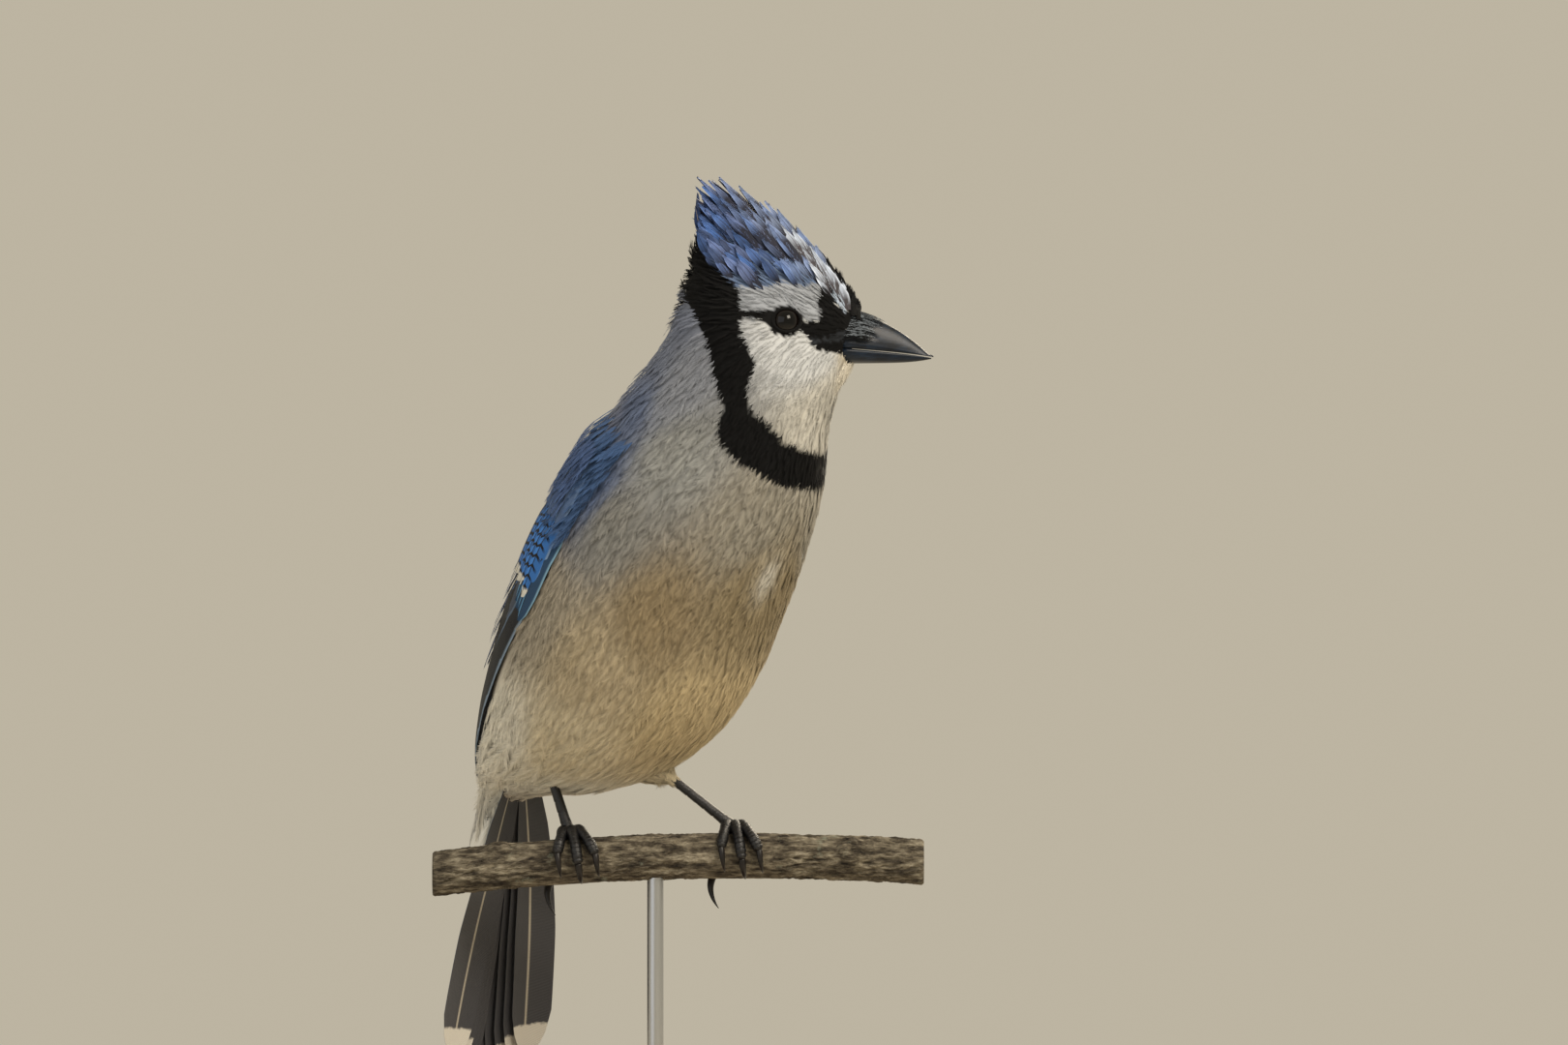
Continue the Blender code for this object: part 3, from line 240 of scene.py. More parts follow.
@dataclass
class Sheaf:
    """Growing pile of triangles with a colour, a soft normal and a bake place at each point."""

    parts: list[tuple[Array, ...]] = field(default_factory=list)
    count: int = 0

    def add(self, points: Array, faces: Array, colours: Array, normals: Array, places: Array,
            quills: Array | None = None) -> None:
        """Add points with what they carry.

        Args:
            points: positions, of shape (n, 3).
            faces: triangles that index into them.
            colours: pigment of each point.
            normals: soft normal of each point.
            places: place of each point on the OFBake map.
            quills: each point's own coordinates, where its finish reads them.
        """
        quills = np.zeros_like(points) if quills is None else quills
        self.parts.append((points, faces + self.count, colours, normals, places, quills))
        self.count += len(points)

    def mesh(self, name: str, material: Material, soften: bool = True) -> Piece:
        """Make the mesh object.

        Args:
            name: the piece's name.
            material: its only material.
            soften: whether the stored normals shade it.

        Returns:
            The linked object, in metres.
        """
        points, faces, colours, normals, places, quills = (np.concatenate(part) for part in zip(*self.parts))
        corners = faces.astype(np.int32).ravel()
        mesh = bpy.data.meshes.new(name)
        mesh.vertices.add(len(points))
        mesh.vertices.foreach_set("co", (points * MM).astype(np.float32).ravel())
        mesh.loops.add(corners.size)
        mesh.loops.foreach_set("vertex_index", corners)
        mesh.polygons.add(len(faces))
        mesh.polygons.foreach_set("loop_start", np.arange(0, corners.size, 3, dtype=np.int32))
        mesh.update(calc_edges=True)
        full = np.concatenate([colours, np.ones((len(colours), 1))], 1)
        pigment = mesh.attributes.new("pigment", "FLOAT_COLOR", "POINT")
        pigment.data.foreach_set("color", full.astype(np.float32).ravel())
        quill = mesh.attributes.new("quill", "FLOAT_VECTOR", "POINT")
        quill.data.foreach_set("vector", quills.astype(np.float32).ravel())
        layer = mesh.uv_layers.new(name="OFBake")
        layer.data.foreach_set("uv", places[corners].astype(np.float32).ravel())
        mesh.shade_smooth()
        if soften:
            mesh.normals_split_custom_set_from_vertices(unit(normals))
        mesh.materials.append(material)
        piece = bpy.data.objects.new(name, mesh)
        bpy.context.scene.collection.objects.link(piece)
        return piece


# A barb's four triangles; its corners on the bake map; how its soft normals lean sideways
BARB_FACES = np.array([(0, 1, 2), (0, 3, 1), (1, 3, 2), (2, 3, 0)])
BARB_PATCH = np.array([(-1.0, -1.0), (1.0, -1.0), (0.0, -0.6), (0.0, 1.0)]) * 0.0015
BARB_LEAN = np.array([-0.45, 0.45, 0.1, 0.0])[:, None]
BARB_RIDGE = 0.45
# How much one barb's length and tone differ from its neighbours'
RAGGED = 0.2
UNEVEN = 0.06


@dataclass(frozen=True)
class Barbs:
    """Many closed three-sided barbs, each from its broad root to its point."""

    root: Array
    tip: Array
    up: Array
    width: Array
    root_colour: Array
    tip_colour: Array
    place: Array

    def into(self, sheaf: Sheaf) -> None:
        """Add the barbs to a sheaf.

        Args:
            sheaf: what takes the triangles.
        """
        side = unit(np.cross(unit(self.tip - self.root), self.up))
        half = self.width[:, None] / 2
        points = np.stack([self.root - side * half, self.root + side * half,
                           self.root + self.up * half * BARB_RIDGE, self.tip], 1)
        colours = np.stack([self.root_colour] * 3 + [self.tip_colour], 1)
        normals = self.up[:, None] + side[:, None] * BARB_LEAN
        faces = BARB_FACES + (np.arange(len(points)) * len(BARB_LEAN))[:, None, None]
        sheaf.add(points.reshape(-1, 3), faces.reshape(-1, 3), colours.reshape(-1, 3), normals.reshape(-1, 3),
                  (self.place[:, None] + BARB_PATCH).reshape(-1, 2))


@dataclass(frozen=True)
class Feathers:
    """Many barbed feathers, each along a curve, with barbs that spread from its shaft."""

    root: Array
    handle: Array
    tip: Array
    up: Array
    width: Array
    colour: Array
    spots: tuple[Array, Array]
    barbs: int
    barb_width: float
    # Darkness of each barb's root: partly the feathers' own darker bases, partly painted shade in the gaps
    # between barbs
    base_shade: float
    spread: Pair
    first: float = 0.25
    marked: bool = False
    # Lightness of each barb's tip: paler tips, and on the crest a painted highlight
    tip_shade: float = 1.08
    blunt: float = 0.6

    def into(self, sheaf: Sheaf, rng: Rng) -> None:
        """Add every barb of every feather to a sheaf.

        Args:
            sheaf: what takes the triangles.
            rng: seeded source of chance.
        """
        count = len(self.root)
        s = self.first + (1.0 - self.first) * (np.arange(self.barbs) + 0.5) / self.barbs
        jitter = rng.uniform(-0.5, 0.5, (count, self.barbs)) * (1 - self.first) / self.barbs
        s = np.clip(s[None] + jitter, 0, 0.99)
        hand = np.where(np.arange(self.barbs) % 2 == 0, 1.0, -1.0)[None] * np.ones((count, 1))
        ends = tuple(p[:, None] for p in (self.root, self.handle, self.tip))
        start = bezier(ends, s)
        along = unit(bezier(ends, np.minimum(s + 0.04, 1.0)) - bezier(ends, np.maximum(s - 0.04, 0.0)))
        side = unit(np.cross(along, np.broadcast_to(unit(self.up)[:, None], along.shape)))
        rise = unit(np.cross(side, along))
        turn = self.spread[0] + (self.spread[1] - self.spread[0]) * s + rng.normal(0, 4.0, s.shape)
        turn = np.radians(turn)[..., None] * hand[..., None]
        out = along * np.cos(turn) + side * np.sin(turn)
        shape = np.interp(s, (0.0, 0.3, 0.6, 0.85, 1.0), (0.7, 1.0, 0.95, 0.75, self.blunt))
        reach = (self.width[:, None] * shape * (1.0 + rng.normal(0, RAGGED, s.shape)))[..., None]
        lift = rise * rng.normal(0.0, 0.03, s.shape)[..., None]
        # A barb leaves the shaft straight, and past its middle it bends towards the feather's tip
        middle = start + out * reach * 0.55 + rise * reach * 0.03 + lift
        tip = middle + unit(out * 0.75 + along * 0.35) * reach * 0.5 - rise * reach * 0.06 + lift
        first, last = (spot[:, None] for spot in self.spots)
        spot = first + (last - first) * np.clip(s + 0.18, 0.0, 1.0)[..., None]
        tone = self.colour[:, None] * (1.0 + rng.normal(0, UNEVEN, s.shape))[..., None]
        if self.marked:
            tone = tone * MARKINGS.colour(spot[..., 0].ravel(), spot[..., 1].ravel(), rng).reshape(tone.shape)
        up = unit(rise + side * hand[..., None] * 0.2)
        wide = self.barb_width * rng.uniform(0.75, 1.25, s.size)
        # Roots darkened and tips lightened: partly the feathers' own colour, partly painted shade between
        # barbs and painted highlights on tips
        shades = (tone * self.base_shade, tone * self.tip_shade)
        place = bake_place(spot[..., 0], spot[..., 1]).reshape(-1, 2)
        root, tip, up, base, end = (v.reshape(-1, 3) for v in (start, tip, up, *shades))
        Barbs(root, tip, up, wide, base, end, place).into(sheaf)


def feed(made: bpy.types.Node, feeds: Feeds) -> None:
    """Give a node's inputs their values or links.

    Args:
        made: the shader node.
        feeds: a value or another node's output for each input, by name or number.
    """
    for name, value in feeds.items():
        if isinstance(value, bpy.types.NodeSocket):
            made.id_data.links.new(value, made.inputs[name])
        else:
            made.inputs[name].default_value = value


def node(tree: Tree, kind: str, feeds: Feeds | None = None, out: str | int = 0,
         stops: dict[float, str] | None = None, **settings: str) -> bpy.types.NodeSocket:
    """Add a shader node with its settings and links.

    Args:
        tree: the node tree that it joins.
        kind: its Blender type, less the leading ShaderNode.
        feeds: a value or another node's output for each input, by name or number.
        out: the output wanted, by name or number.
        stops: places and hex colours, where it is a colour ramp.
        settings: its plain properties.

    Returns:
        The output wanted.
    """
    made = tree.nodes.new(f"ShaderNode{kind}")
    for name, value in settings.items():
        setattr(made, name, value)
    for k, (place, colour) in enumerate(sorted((stops or {}).items())):
        elements = made.color_ramp.elements
        element = elements[k] if k < 2 else elements.new(place)
        element.position = place
        element.color = rgba(colour)
    feed(made, feeds or {})
    return made.outputs[out]


@dataclass(frozen=True)
class Finish:
    """A material by its name; each kind tells what it feeds its shader."""

    name: str

    def surface(self, tree: Tree) -> Feeds:
        """What goes into the Principled shader's inputs."""
        raise NotImplementedError

    def make(self) -> Material:
        """Make the material.

        Returns:
            The material, with its shader fed.
        """
        material = bpy.data.materials.new(self.name)
        material.use_nodes = True
        tree = material.node_tree
        feed(tree.nodes["Principled BSDF"], self.surface(tree))
        return material


@dataclass(frozen=True)
class BodyPlumage(Finish):
    """Contour feathers: matt keratin barbs that scatter light softly and shine a little along their edges."""

    mottle_mm: float = 5.0
    barb_mm: float = 0.5

    def surface(self, tree: Tree) -> Feeds:
        """The markings' colours with a faint mottle, and a grain coarser than real barbules of 0.02 mm.

        Args:
            tree: what its nodes join.

        Returns:
            The shader's inputs.
        """
        spot = node(tree, "TexCoord", out="Object")
        mottle = node(tree, "TexNoise", {"Vector": spot, "Scale": 1 / (self.mottle_mm * MM), "Detail": 4.0})
        shade = node(tree, "MapRange", {"Value": mottle, "From Min": 0.3, "From Max": 0.7, "To Min": 0.9,
                                        "To Max": 1.1})
        pigment = node(tree, "Attribute", out="Color", attribute_name="pigment")
        grain = node(tree, "TexNoise", {"Vector": spot, "Scale": 1 / (self.barb_mm * MM), "Detail": 2.0})
        return {
            "Base Color": node(tree, "VectorMath", {0: pigment, "Scale": shade}, operation="SCALE"),
            "Normal": node(tree, "Bump", {"Height": grain, "Strength": 0.25, "Distance": 0.1 * MM}),
            "Roughness": 0.72, "Specular IOR Level": 0.14, "Sheen Weight": 0.05, "Sheen Roughness": 0.5,
        }


@dataclass(frozen=True)
class VanePlumage(Finish):
    """Flight and tail feathers: hooked barbs that close to a smooth satin blade with a horny shaft."""

    outer: str
    inner: str
    under: str = "#55575c"
    bar: str = "#0d1016"
    bar_mm: float = 2.6
    bar_share: float = 0.42
    tip: str = "#dedbd0"
    tip_mm: float = 0.0
    edge: str = "#8fa9c6"
    shaft: str = "#14161b"
    barb_mm: float = 0.45
    fade: str = "#12161f"
    fade_mm: float = 0.0
    wander_mm: float = 1.6
    slant: float = 2.2

    def surface(self, tree: Tree) -> Feeds:
        """Bars, tip, edge and shaft, drawn in each vane's own coordinates; its dye multiplies the colour.

        Args:
            tree: what its nodes join.

        Returns:
            The shader's inputs.
        """
        quill = node(tree, "Attribute", out="Vector", attribute_name="quill")
        across, from_tip, face = (node(tree, "SeparateXYZ", {0: quill}, axis) for axis in "XYZ")
        spot = node(tree, "TexCoord", out="Object")
        wander = node(tree, "TexNoise", {"Vector": spot, "Scale": 1 / (self.wander_mm * MM), "Detail": 2.0})
        wide = node(tree, "Math", {0: across}, operation="ABSOLUTE")
        slanted = node(tree, "Math", {0: wide, 1: self.slant, 2: from_tip}, operation="MULTIPLY_ADD")
        outside = node(tree, "MapRange", {"Value": across, "From Min": -0.05, "From Max": 0.12})
        colour = node(tree, "Mix", {0: outside, 6: rgba(self.inner), 7: rgba(self.outer)}, 2,
                      data_type="RGBA")
        if self.bar_share > 0:
            wavy = node(tree, "Math", {0: wander, 1: 0.9, 2: slanted}, operation="MULTIPLY_ADD")
            turns = node(tree, "Math", {0: wavy, 1: 2 * math.pi / self.bar_mm}, operation="MULTIPLY")
            wave = node(tree, "Math", {0: turns}, operation="SINE")
            low = math.cos(math.pi * self.bar_share)
            bars = node(tree, "MapRange", {"Value": wave, "From Min": low, "From Max": low + 0.25})
            reach = node(tree, "MapRange", {"Value": across, "From Min": -0.7, "From Max": -0.3})
            share = node(tree, "Math", {0: bars, 1: reach}, operation="MULTIPLY")
            colour = node(tree, "Mix", {0: share, 6: colour, 7: rgba(self.bar)}, 2, data_type="RGBA")
        edging = node(tree, "MapRange", {"Value": wide, "From Min": 0.8, "From Max": 0.94, "To Max": 0.8})
        colour = node(tree, "Mix", {0: edging, 6: colour, 7: rgba(self.edge)}, 2, data_type="RGBA")
        rib = node(tree, "MapRange", {"Value": wide, "From Min": 0.075, "From Max": 0.03})
        below = node(tree, "Mix", {0: rib, 6: rgba(self.under), 7: rgba("#b9b3a4")}, 2, data_type="RGBA")
        if self.tip_mm > 0:
            ragged = node(tree, "Math", {0: wander, 1: 1.6, 2: from_tip}, operation="MULTIPLY_ADD")
            tip = node(tree, "MapRange", {"Value": ragged, "From Min": self.tip_mm + 1.3,
                                          "From Max": self.tip_mm + 0.5})
            colour, below = (node(tree, "Mix", {0: tip, 6: web, 7: rgba(self.tip)}, 2, data_type="RGBA")
                             for web in (colour, below))
        if self.fade_mm > 0:
            deep = node(tree, "MapRange", {"Value": from_tip, "From Min": self.fade_mm * 0.4,
                                           "From Max": self.fade_mm})
            colour = node(tree, "Mix", {0: deep, 6: colour, 7: rgba(self.fade)}, 2, data_type="RGBA")
        colour = node(tree, "Mix", {0: rib, 6: colour, 7: rgba(self.shaft)}, 2, data_type="RGBA")
        top = node(tree, "MapRange", {"Value": face, "From Min": 0.4, "From Max": 0.6})
        colour = node(tree, "Mix", {0: top, 6: below, 7: colour}, 2, data_type="RGBA")
        dye = node(tree, "Attribute", out="Color", attribute_name="pigment")
        colour = node(tree, "VectorMath", {0: colour, 1: dye}, operation="MULTIPLY")
        # Barbs are drawn about 0.45 mm apart, coarser than the real 0.25 mm, to be seen in the picture
        rows = node(tree, "Math", {0: slanted, 1: 2 * math.pi / self.barb_mm}, operation="MULTIPLY")
        line = node(tree, "Math", {0: rows}, operation="SINE")
        tone = node(tree, "MapRange", {"Value": line, "From Min": -1.0, "From Max": 1.0, "To Min": 0.88,
                                       "To Max": 1.08})
        return {
            "Base Color": node(tree, "VectorMath", {0: colour, "Scale": tone}, operation="SCALE"),
            "Normal": node(tree, "Bump", {"Height": line, "Strength": 0.35, "Distance": 0.08 * MM}),
            "Roughness": 0.5, "Specular IOR Level": 0.2,
        }


@dataclass(frozen=True)
class Keratin(Finish):
    """Grown horn of bill and claws: dense keratin with a satin polish and fine lengthwise growth lines."""

    colour: str
    worn_and_sheen: str
    line_mm: float = 0.7
    cloud_mm: float = 6.0
    roughness: float = 0.36

    def surface(self, tree: Tree) -> Feeds:
        """Dark horn that clouds towards a lighter colour: wear on the claws, and on the bill partly a painted
        bluish sheen.

        Args:
            tree: what its nodes join.

        Returns:
            The shader's inputs.
        """
        spot = node(tree, "TexCoord", out="Object")
        stretch = node(tree, "Mapping", {"Vector": spot, "Scale": (0.15, 1.0, 1.0)})
        lines = node(tree, "TexNoise", {"Vector": stretch, "Scale": 1 / (self.line_mm * MM), "Detail": 5.0})
        cloud = node(tree, "TexNoise", {"Vector": spot, "Scale": 1 / (self.cloud_mm * MM), "Detail": 3.0})
        both = node(tree, "Math", {0: lines, 1: cloud}, operation="MULTIPLY")
        return {
            "Base Color": node(tree, "ValToRGB", {"Fac": both}, stops={0.1: self.colour, 0.5: self.worn_and_sheen}),
            "Normal": node(tree, "Bump", {"Height": lines, "Strength": 0.2, "Distance": 0.08 * MM}),
            "Roughness": self.roughness, "Specular IOR Level": 0.3,
        }


@dataclass(frozen=True)
class ScaledSkin(Finish):
    """Horny leg skin: black, a little waxy, with creases between its small scales."""

    colour: str
    crease: str
    scale_mm: float = 0.8

    def surface(self, tree: Tree) -> Feeds:
        """Cell-shaped scales with darker creases.

        Args:
            tree: what its nodes join.

        Returns:
            The shader's inputs.
        """
        spot = node(tree, "TexCoord", out="Object")
        cells = node(tree, "TexVoronoi", {"Vector": spot, "Scale": 1 / (self.scale_mm * MM)},
                     feature="DISTANCE_TO_EDGE")
        edge = node(tree, "MapRange", {"Value": cells, "From Max": 0.18})
        return {
            "Base Color": node(tree, "ValToRGB", {"Fac": edge}, stops={0.0: self.crease, 1.0: self.colour}),
            "Normal": node(tree, "Bump", {"Height": edge, "Strength": 0.4, "Distance": 0.12 * MM}),
            "Roughness": 0.42,
        }


@dataclass(frozen=True)
class WetEye(Finish):
    """Eye under a wet cornea: black pupil, very dark brown iris and a clear front that holds small lights."""

    pupil_mm: float = 2.3
    iris_mm: float = 3.9

    def surface(self, tree: Tree) -> Feeds:
        """Colour by distance from the eye's axis.

        Args:
            tree: what its nodes join.

        Returns:
            The shader's inputs.
        """
        quill = node(tree, "Attribute", out="Vector", attribute_name="quill")
        off_axis = node(tree, "SeparateXYZ", {0: quill})
        share = node(tree, "Math", {0: off_axis, 1: EYE_RADIUS}, operation="DIVIDE")
        pupil = self.pupil_mm / EYE_RADIUS
        iris = self.iris_mm / EYE_RADIUS
        stops = {pupil - 0.02: "#010101", pupil + 0.03: "#0a0605", iris - 0.04: "#0e0806", iris: "#020202"}
        colour = node(tree, "ValToRGB", {"Fac": share}, stops=stops)
        return {"Base Color": colour, "Roughness": 0.06, "IOR": 1.376}


@dataclass(frozen=True)
class Bark(Finish):
    """Weathered twig bark: dull grey-brown cork with long cracks, paler ridges and a little grey lichen."""

    crack_mm: float = 2.0
    grain_mm: float = 0.5
    lichen_mm: float = 14.0

    def surface(self, tree: Tree) -> Feeds:
        """Cracks along the branch, which lies along X.

        Args:
            tree: what its nodes join.

        Returns:
            The shader's inputs.
        """
        spot = node(tree, "TexCoord", out="Object")
        stretch = node(tree, "Mapping", {"Vector": spot, "Scale": (0.3, 1.0, 1.0)})
        cracks = node(tree, "TexNoise", {"Vector": stretch, "Scale": 1 / (self.crack_mm * MM), "Detail": 8.0,
                                         "Roughness": 0.65})
        grain = node(tree, "TexNoise", {"Vector": stretch, "Scale": 1 / (self.grain_mm * MM), "Detail": 3.0})
        lichen = node(tree, "TexNoise", {"Vector": spot, "Scale": 1 / (self.lichen_mm * MM), "Detail": 6.0,
                                         "Roughness": 0.7})
        wood = node(tree, "ValToRGB", {"Fac": cracks},
                    stops={0.34: "#1c1814", 0.46: "#4c453a", 0.56: "#746c5c", 0.7: "#a59d8a"})
        patch = node(tree, "MapRange", {"Value": lichen, "From Min": 0.6, "From Max": 0.68, "To Max": 0.6})
        height = node(tree, "Math", {0: grain, 1: 0.35, 2: cracks}, operation="MULTIPLY_ADD")
        return {
            "Base Color": node(tree, "Mix", {0: patch, 6: wood, 7: rgba("#8f9484")}, 2, data_type="RGBA"),
            "Normal": node(tree, "Bump", {"Height": height, "Strength": 1.0, "Distance": 0.8 * MM}),
            "Roughness": 0.9, "Specular IOR Level": 0.25,
        }


@dataclass(frozen=True)
class Walnut(Finish):
    """Turned and oiled walnut: straight brown grain, fine dark pores and a soft hand-rubbed shine."""

    ring_mm: float = 5.0
    pore_mm: float = 0.5

    def surface(self, tree: Tree) -> Feeds:
        """Grain along X.

        Args:
            tree: what its nodes join.

        Returns:
            The shader's inputs.
        """
        spot = node(tree, "TexCoord", out="Object")
        stretch = node(tree, "Mapping", {"Vector": spot, "Scale": (0.08, 1.0, 1.0)})
        rings = node(tree, "TexNoise", {"Vector": stretch, "Scale": 1 / (self.ring_mm * MM), "Detail": 6.0,
                                        "Distortion": 0.8})
        pores = node(tree, "TexNoise", {"Vector": stretch, "Scale": 1 / (self.pore_mm * MM), "Detail": 2.0})
        return {
            "Base Color": node(tree, "ValToRGB", {"Fac": rings},
                               stops={0.3: "#2e1a10", 0.5: "#5a3721", 0.7: "#7a5033"}),
            "Normal": node(tree, "Bump", {"Height": pores, "Strength": 0.15, "Distance": 0.1 * MM}),
            "Roughness": 0.42, "Coat Weight": 0.3, "Coat Roughness": 0.25,
        }


@dataclass(frozen=True)
class BrushedSteel(Finish):
    """Stainless rod brushed along its length, so that highlights smear round it."""

    line_mm: float = 0.3

    def surface(self, tree: Tree) -> Feeds:
        """Fine upright lines.

        Args:
            tree: what its nodes join.

        Returns:
            The shader's inputs.
        """
        spot = node(tree, "TexCoord", out="Object")
        stretch = node(tree, "Mapping", {"Vector": spot, "Scale": (1.0, 1.0, 0.02)})
        lines = node(tree, "TexNoise", {"Vector": stretch, "Scale": 1 / (self.line_mm * MM), "Detail": 3.0})
        return {
            "Base Color": rgba("#b9bbbc"), "Metallic": 1.0,
            "Roughness": node(tree, "MapRange", {"Value": lines, "To Min": 0.24, "To Max": 0.4}),
            "Normal": node(tree, "Bump", {"Height": lines, "Strength": 0.1, "Distance": 0.02 * MM}),
        }


@dataclass(frozen=True)
class Paper(Finish):
    """Matt studio paper that fades into the backdrop's tone far from the model."""

    colours: tuple[str, str] = ("#c5c0b5", "#cbc6bb")
    fade: tuple[float, float] = (0.22, 0.65)
    grain_mm: float = 2.0

    def surface(self, tree: Tree) -> Feeds:
        """Faint paper grain, and alpha by distance from the middle.

        Args:
            tree: what its nodes join.

        Returns:
            The shader's inputs.
        """
        spot = node(tree, "TexCoord", out="Object")
        grain = node(tree, "TexNoise", {"Vector": spot, "Scale": 1 / (self.grain_mm * MM), "Detail": 3.0})
        far = node(tree, "VectorMath", {0: spot}, "Value", operation="LENGTH")
        near, out = self.fade
        return {
            "Base Color": node(tree, "ValToRGB", {"Fac": grain}, stops=dict(zip((0.3, 0.7), self.colours))),
            "Alpha": node(tree, "MapRange", {"Value": far, "From Min": out, "From Max": near}),
            "Roughness": 0.9,
        }


@dataclass(frozen=True)
class PlumageArea:
    """A named area of the body's plumage: its middle on the body and its colour."""

    name: str
    place: float
    angle: float
    colour: str


BODY_AREAS = tuple(PlumageArea(*row) for row in (
    # The breast's rows are darker than the bird's own light grey with its brownish wash: they carry painted
    # shade
    ("upper breast side", 7.7, 84.0, "#9a9b98"),
    ("upper breast", 7.5, 30.0, "#9b968a"),
    ("breast side", 6.5, 88.0, "#8f8e89"),
    ("breast middle", 6.3, 10.0, "#94866a"),
    ("lower breast", 5.7, 50.0, "#97876a"),
    ("belly", 4.4, 15.0, "#c6b48f"),
    ("flank", 4.5, 66.0, "#bcad90"),
    ("upper flank", 4.8, 104.0, "#a89f8e"),
    ("thigh", 3.0, 60.0, "#d3c6a9"),
    ("vent", 2.4, 95.0, "#e4dfd0"),
    ("undertail", 1.0, 20.0, "#e4dfd0"),
    ("mantle", 7.3, 135.0, "#74798b"),
    ("back", 5.2, 180.0, "#6c748b"),
    ("rump", 1.6, 180.0, "#5e7595"),
    ("hind neck", 9.4, 165.0, "#7d8496"),
    ("neck side", 8.5, 108.0, "#8b8f98"),
    ("throat", 9.1, 20.0, "#cfccc2"),
    ("shoulder", 7.7, 124.0, "#66738f"),
    ("wing bend", 6.7, 111.0, "#607296"),
    ("cheek", 10.4, 60.0, "#d3d6d8"),
))

# A ruffled pale tuft low on the breast: its middle and its half sizes, as (t, angle)
RUFFLED_TUFT = (6.72, 5.0)
TUFT_SIZE = (0.3, 6.5)
# Where the head's own colours begin, as t, and the brow's box, as (least x, greatest x, least z)
HEAD_FROM = 9.3
BROW = (17.0, 46.5, 258.8)
# The black necklace: its front edge, its bib and its hind edge up to the nape, as (t, angle)
NECKLACE = (
    (12.2, 181.0), (10.65, 144.0), (9.7, 120.0), (9.0, 97.0), (8.65, 80.0), (8.25, 72.0), (8.1, 58.0),
    (8.03, 23.0), (8.08, -9.0), (8.53, -9.0), (8.57, 34.0), (8.75, 62.0), (8.9, 71.0), (9.22, 76.0),
    (9.72, 82.0), (10.4, 101.0), (11.4, 109.0), (12.25, 111.0), (13.6, 122.0), (14.0, 181.0),
)
# The mask round the bill's root, the forehead and the corner of the mouth, as (x, z) of the profile
MASK = (
    (38.0, 260.4), (41.1, 258.1), (46.1, 258.1), (46.6, 260.9), (45.2, 264.6), (46.0, 269.3), (43.9, 272.2),
    (47.4, 272.2), (49.9, 267.2), (51.1, 264.0), (52.7, 262.1), (54.9, 261.2), (56.0, 262.4), (55.2, 266.2),
    (51.8, 272.2), (56.2, 267.5), (58.6, 265.0), (60.4, 261.2), (58.0, 257.0), (52.7, 255.6), (51.1, 254.4),
    (46.1, 252.4), (43.6, 253.0), (40.2, 255.4), (38.0, 256.0),
)
FOREHEAD = (
    (43.0, 275.6), (48.2, 270.6), (50.4, 265.6), (52.6, 262.4), (54.6, 261.3), (55.2, 263.4), (53.0, 268.0),
    (49.5, 273.4), (46.4, 277.9), (44.5, 278.8),
)
FRONTAL = (
    (55.0, 260.6), (55.6, 263.6), (53.4, 268.4), (51.6, 272.4), (56.5, 271.0), (62.0, 262.0), (60.0, 259.0),
)
BRISTLED = (
    (43.6, 253.2), (46.1, 252.4), (51.1, 254.4), (52.7, 255.6), (61.0, 257.4), (61.0, 251.0), (47.0, 251.4),
    (43.2, 251.0),
)
GAPE = ((43.2, 251.2), (47.0, 252.0), (56.0, 252.0), (56.0, 248.6), (49.0, 248.6), (45.5, 250.0))
CROWN_EDGE = (
    (8.0, 287.0), (12.9, 277.0), (20.3, 268.6), (28.5, 268.2), (33.5, 270.3), (40.9, 269.1), (45.6, 270.6),
    (50.5, 266.0), (58.5, 263.5),
)


def inside(outline: Outline, u: Array, v: Array) -> Array:
    """Tell which points lie in a closed outline.

    Args:
        outline: corners in order.
        u: first coordinate of each point.
        v: second coordinate of each point.

    Returns:
        True for each point inside.
    """
    result = np.zeros(u.shape, bool)
    for (u0, v0), (u1, v1) in zip(outline, outline[1:] + outline[:1]):
        if v0 == v1:
            continue
        crosses = (v0 > v) != (v1 > v)
        result ^= crosses & (u < (u1 - u0) * (v - v0) / (v1 - v0) + u0)
    return result


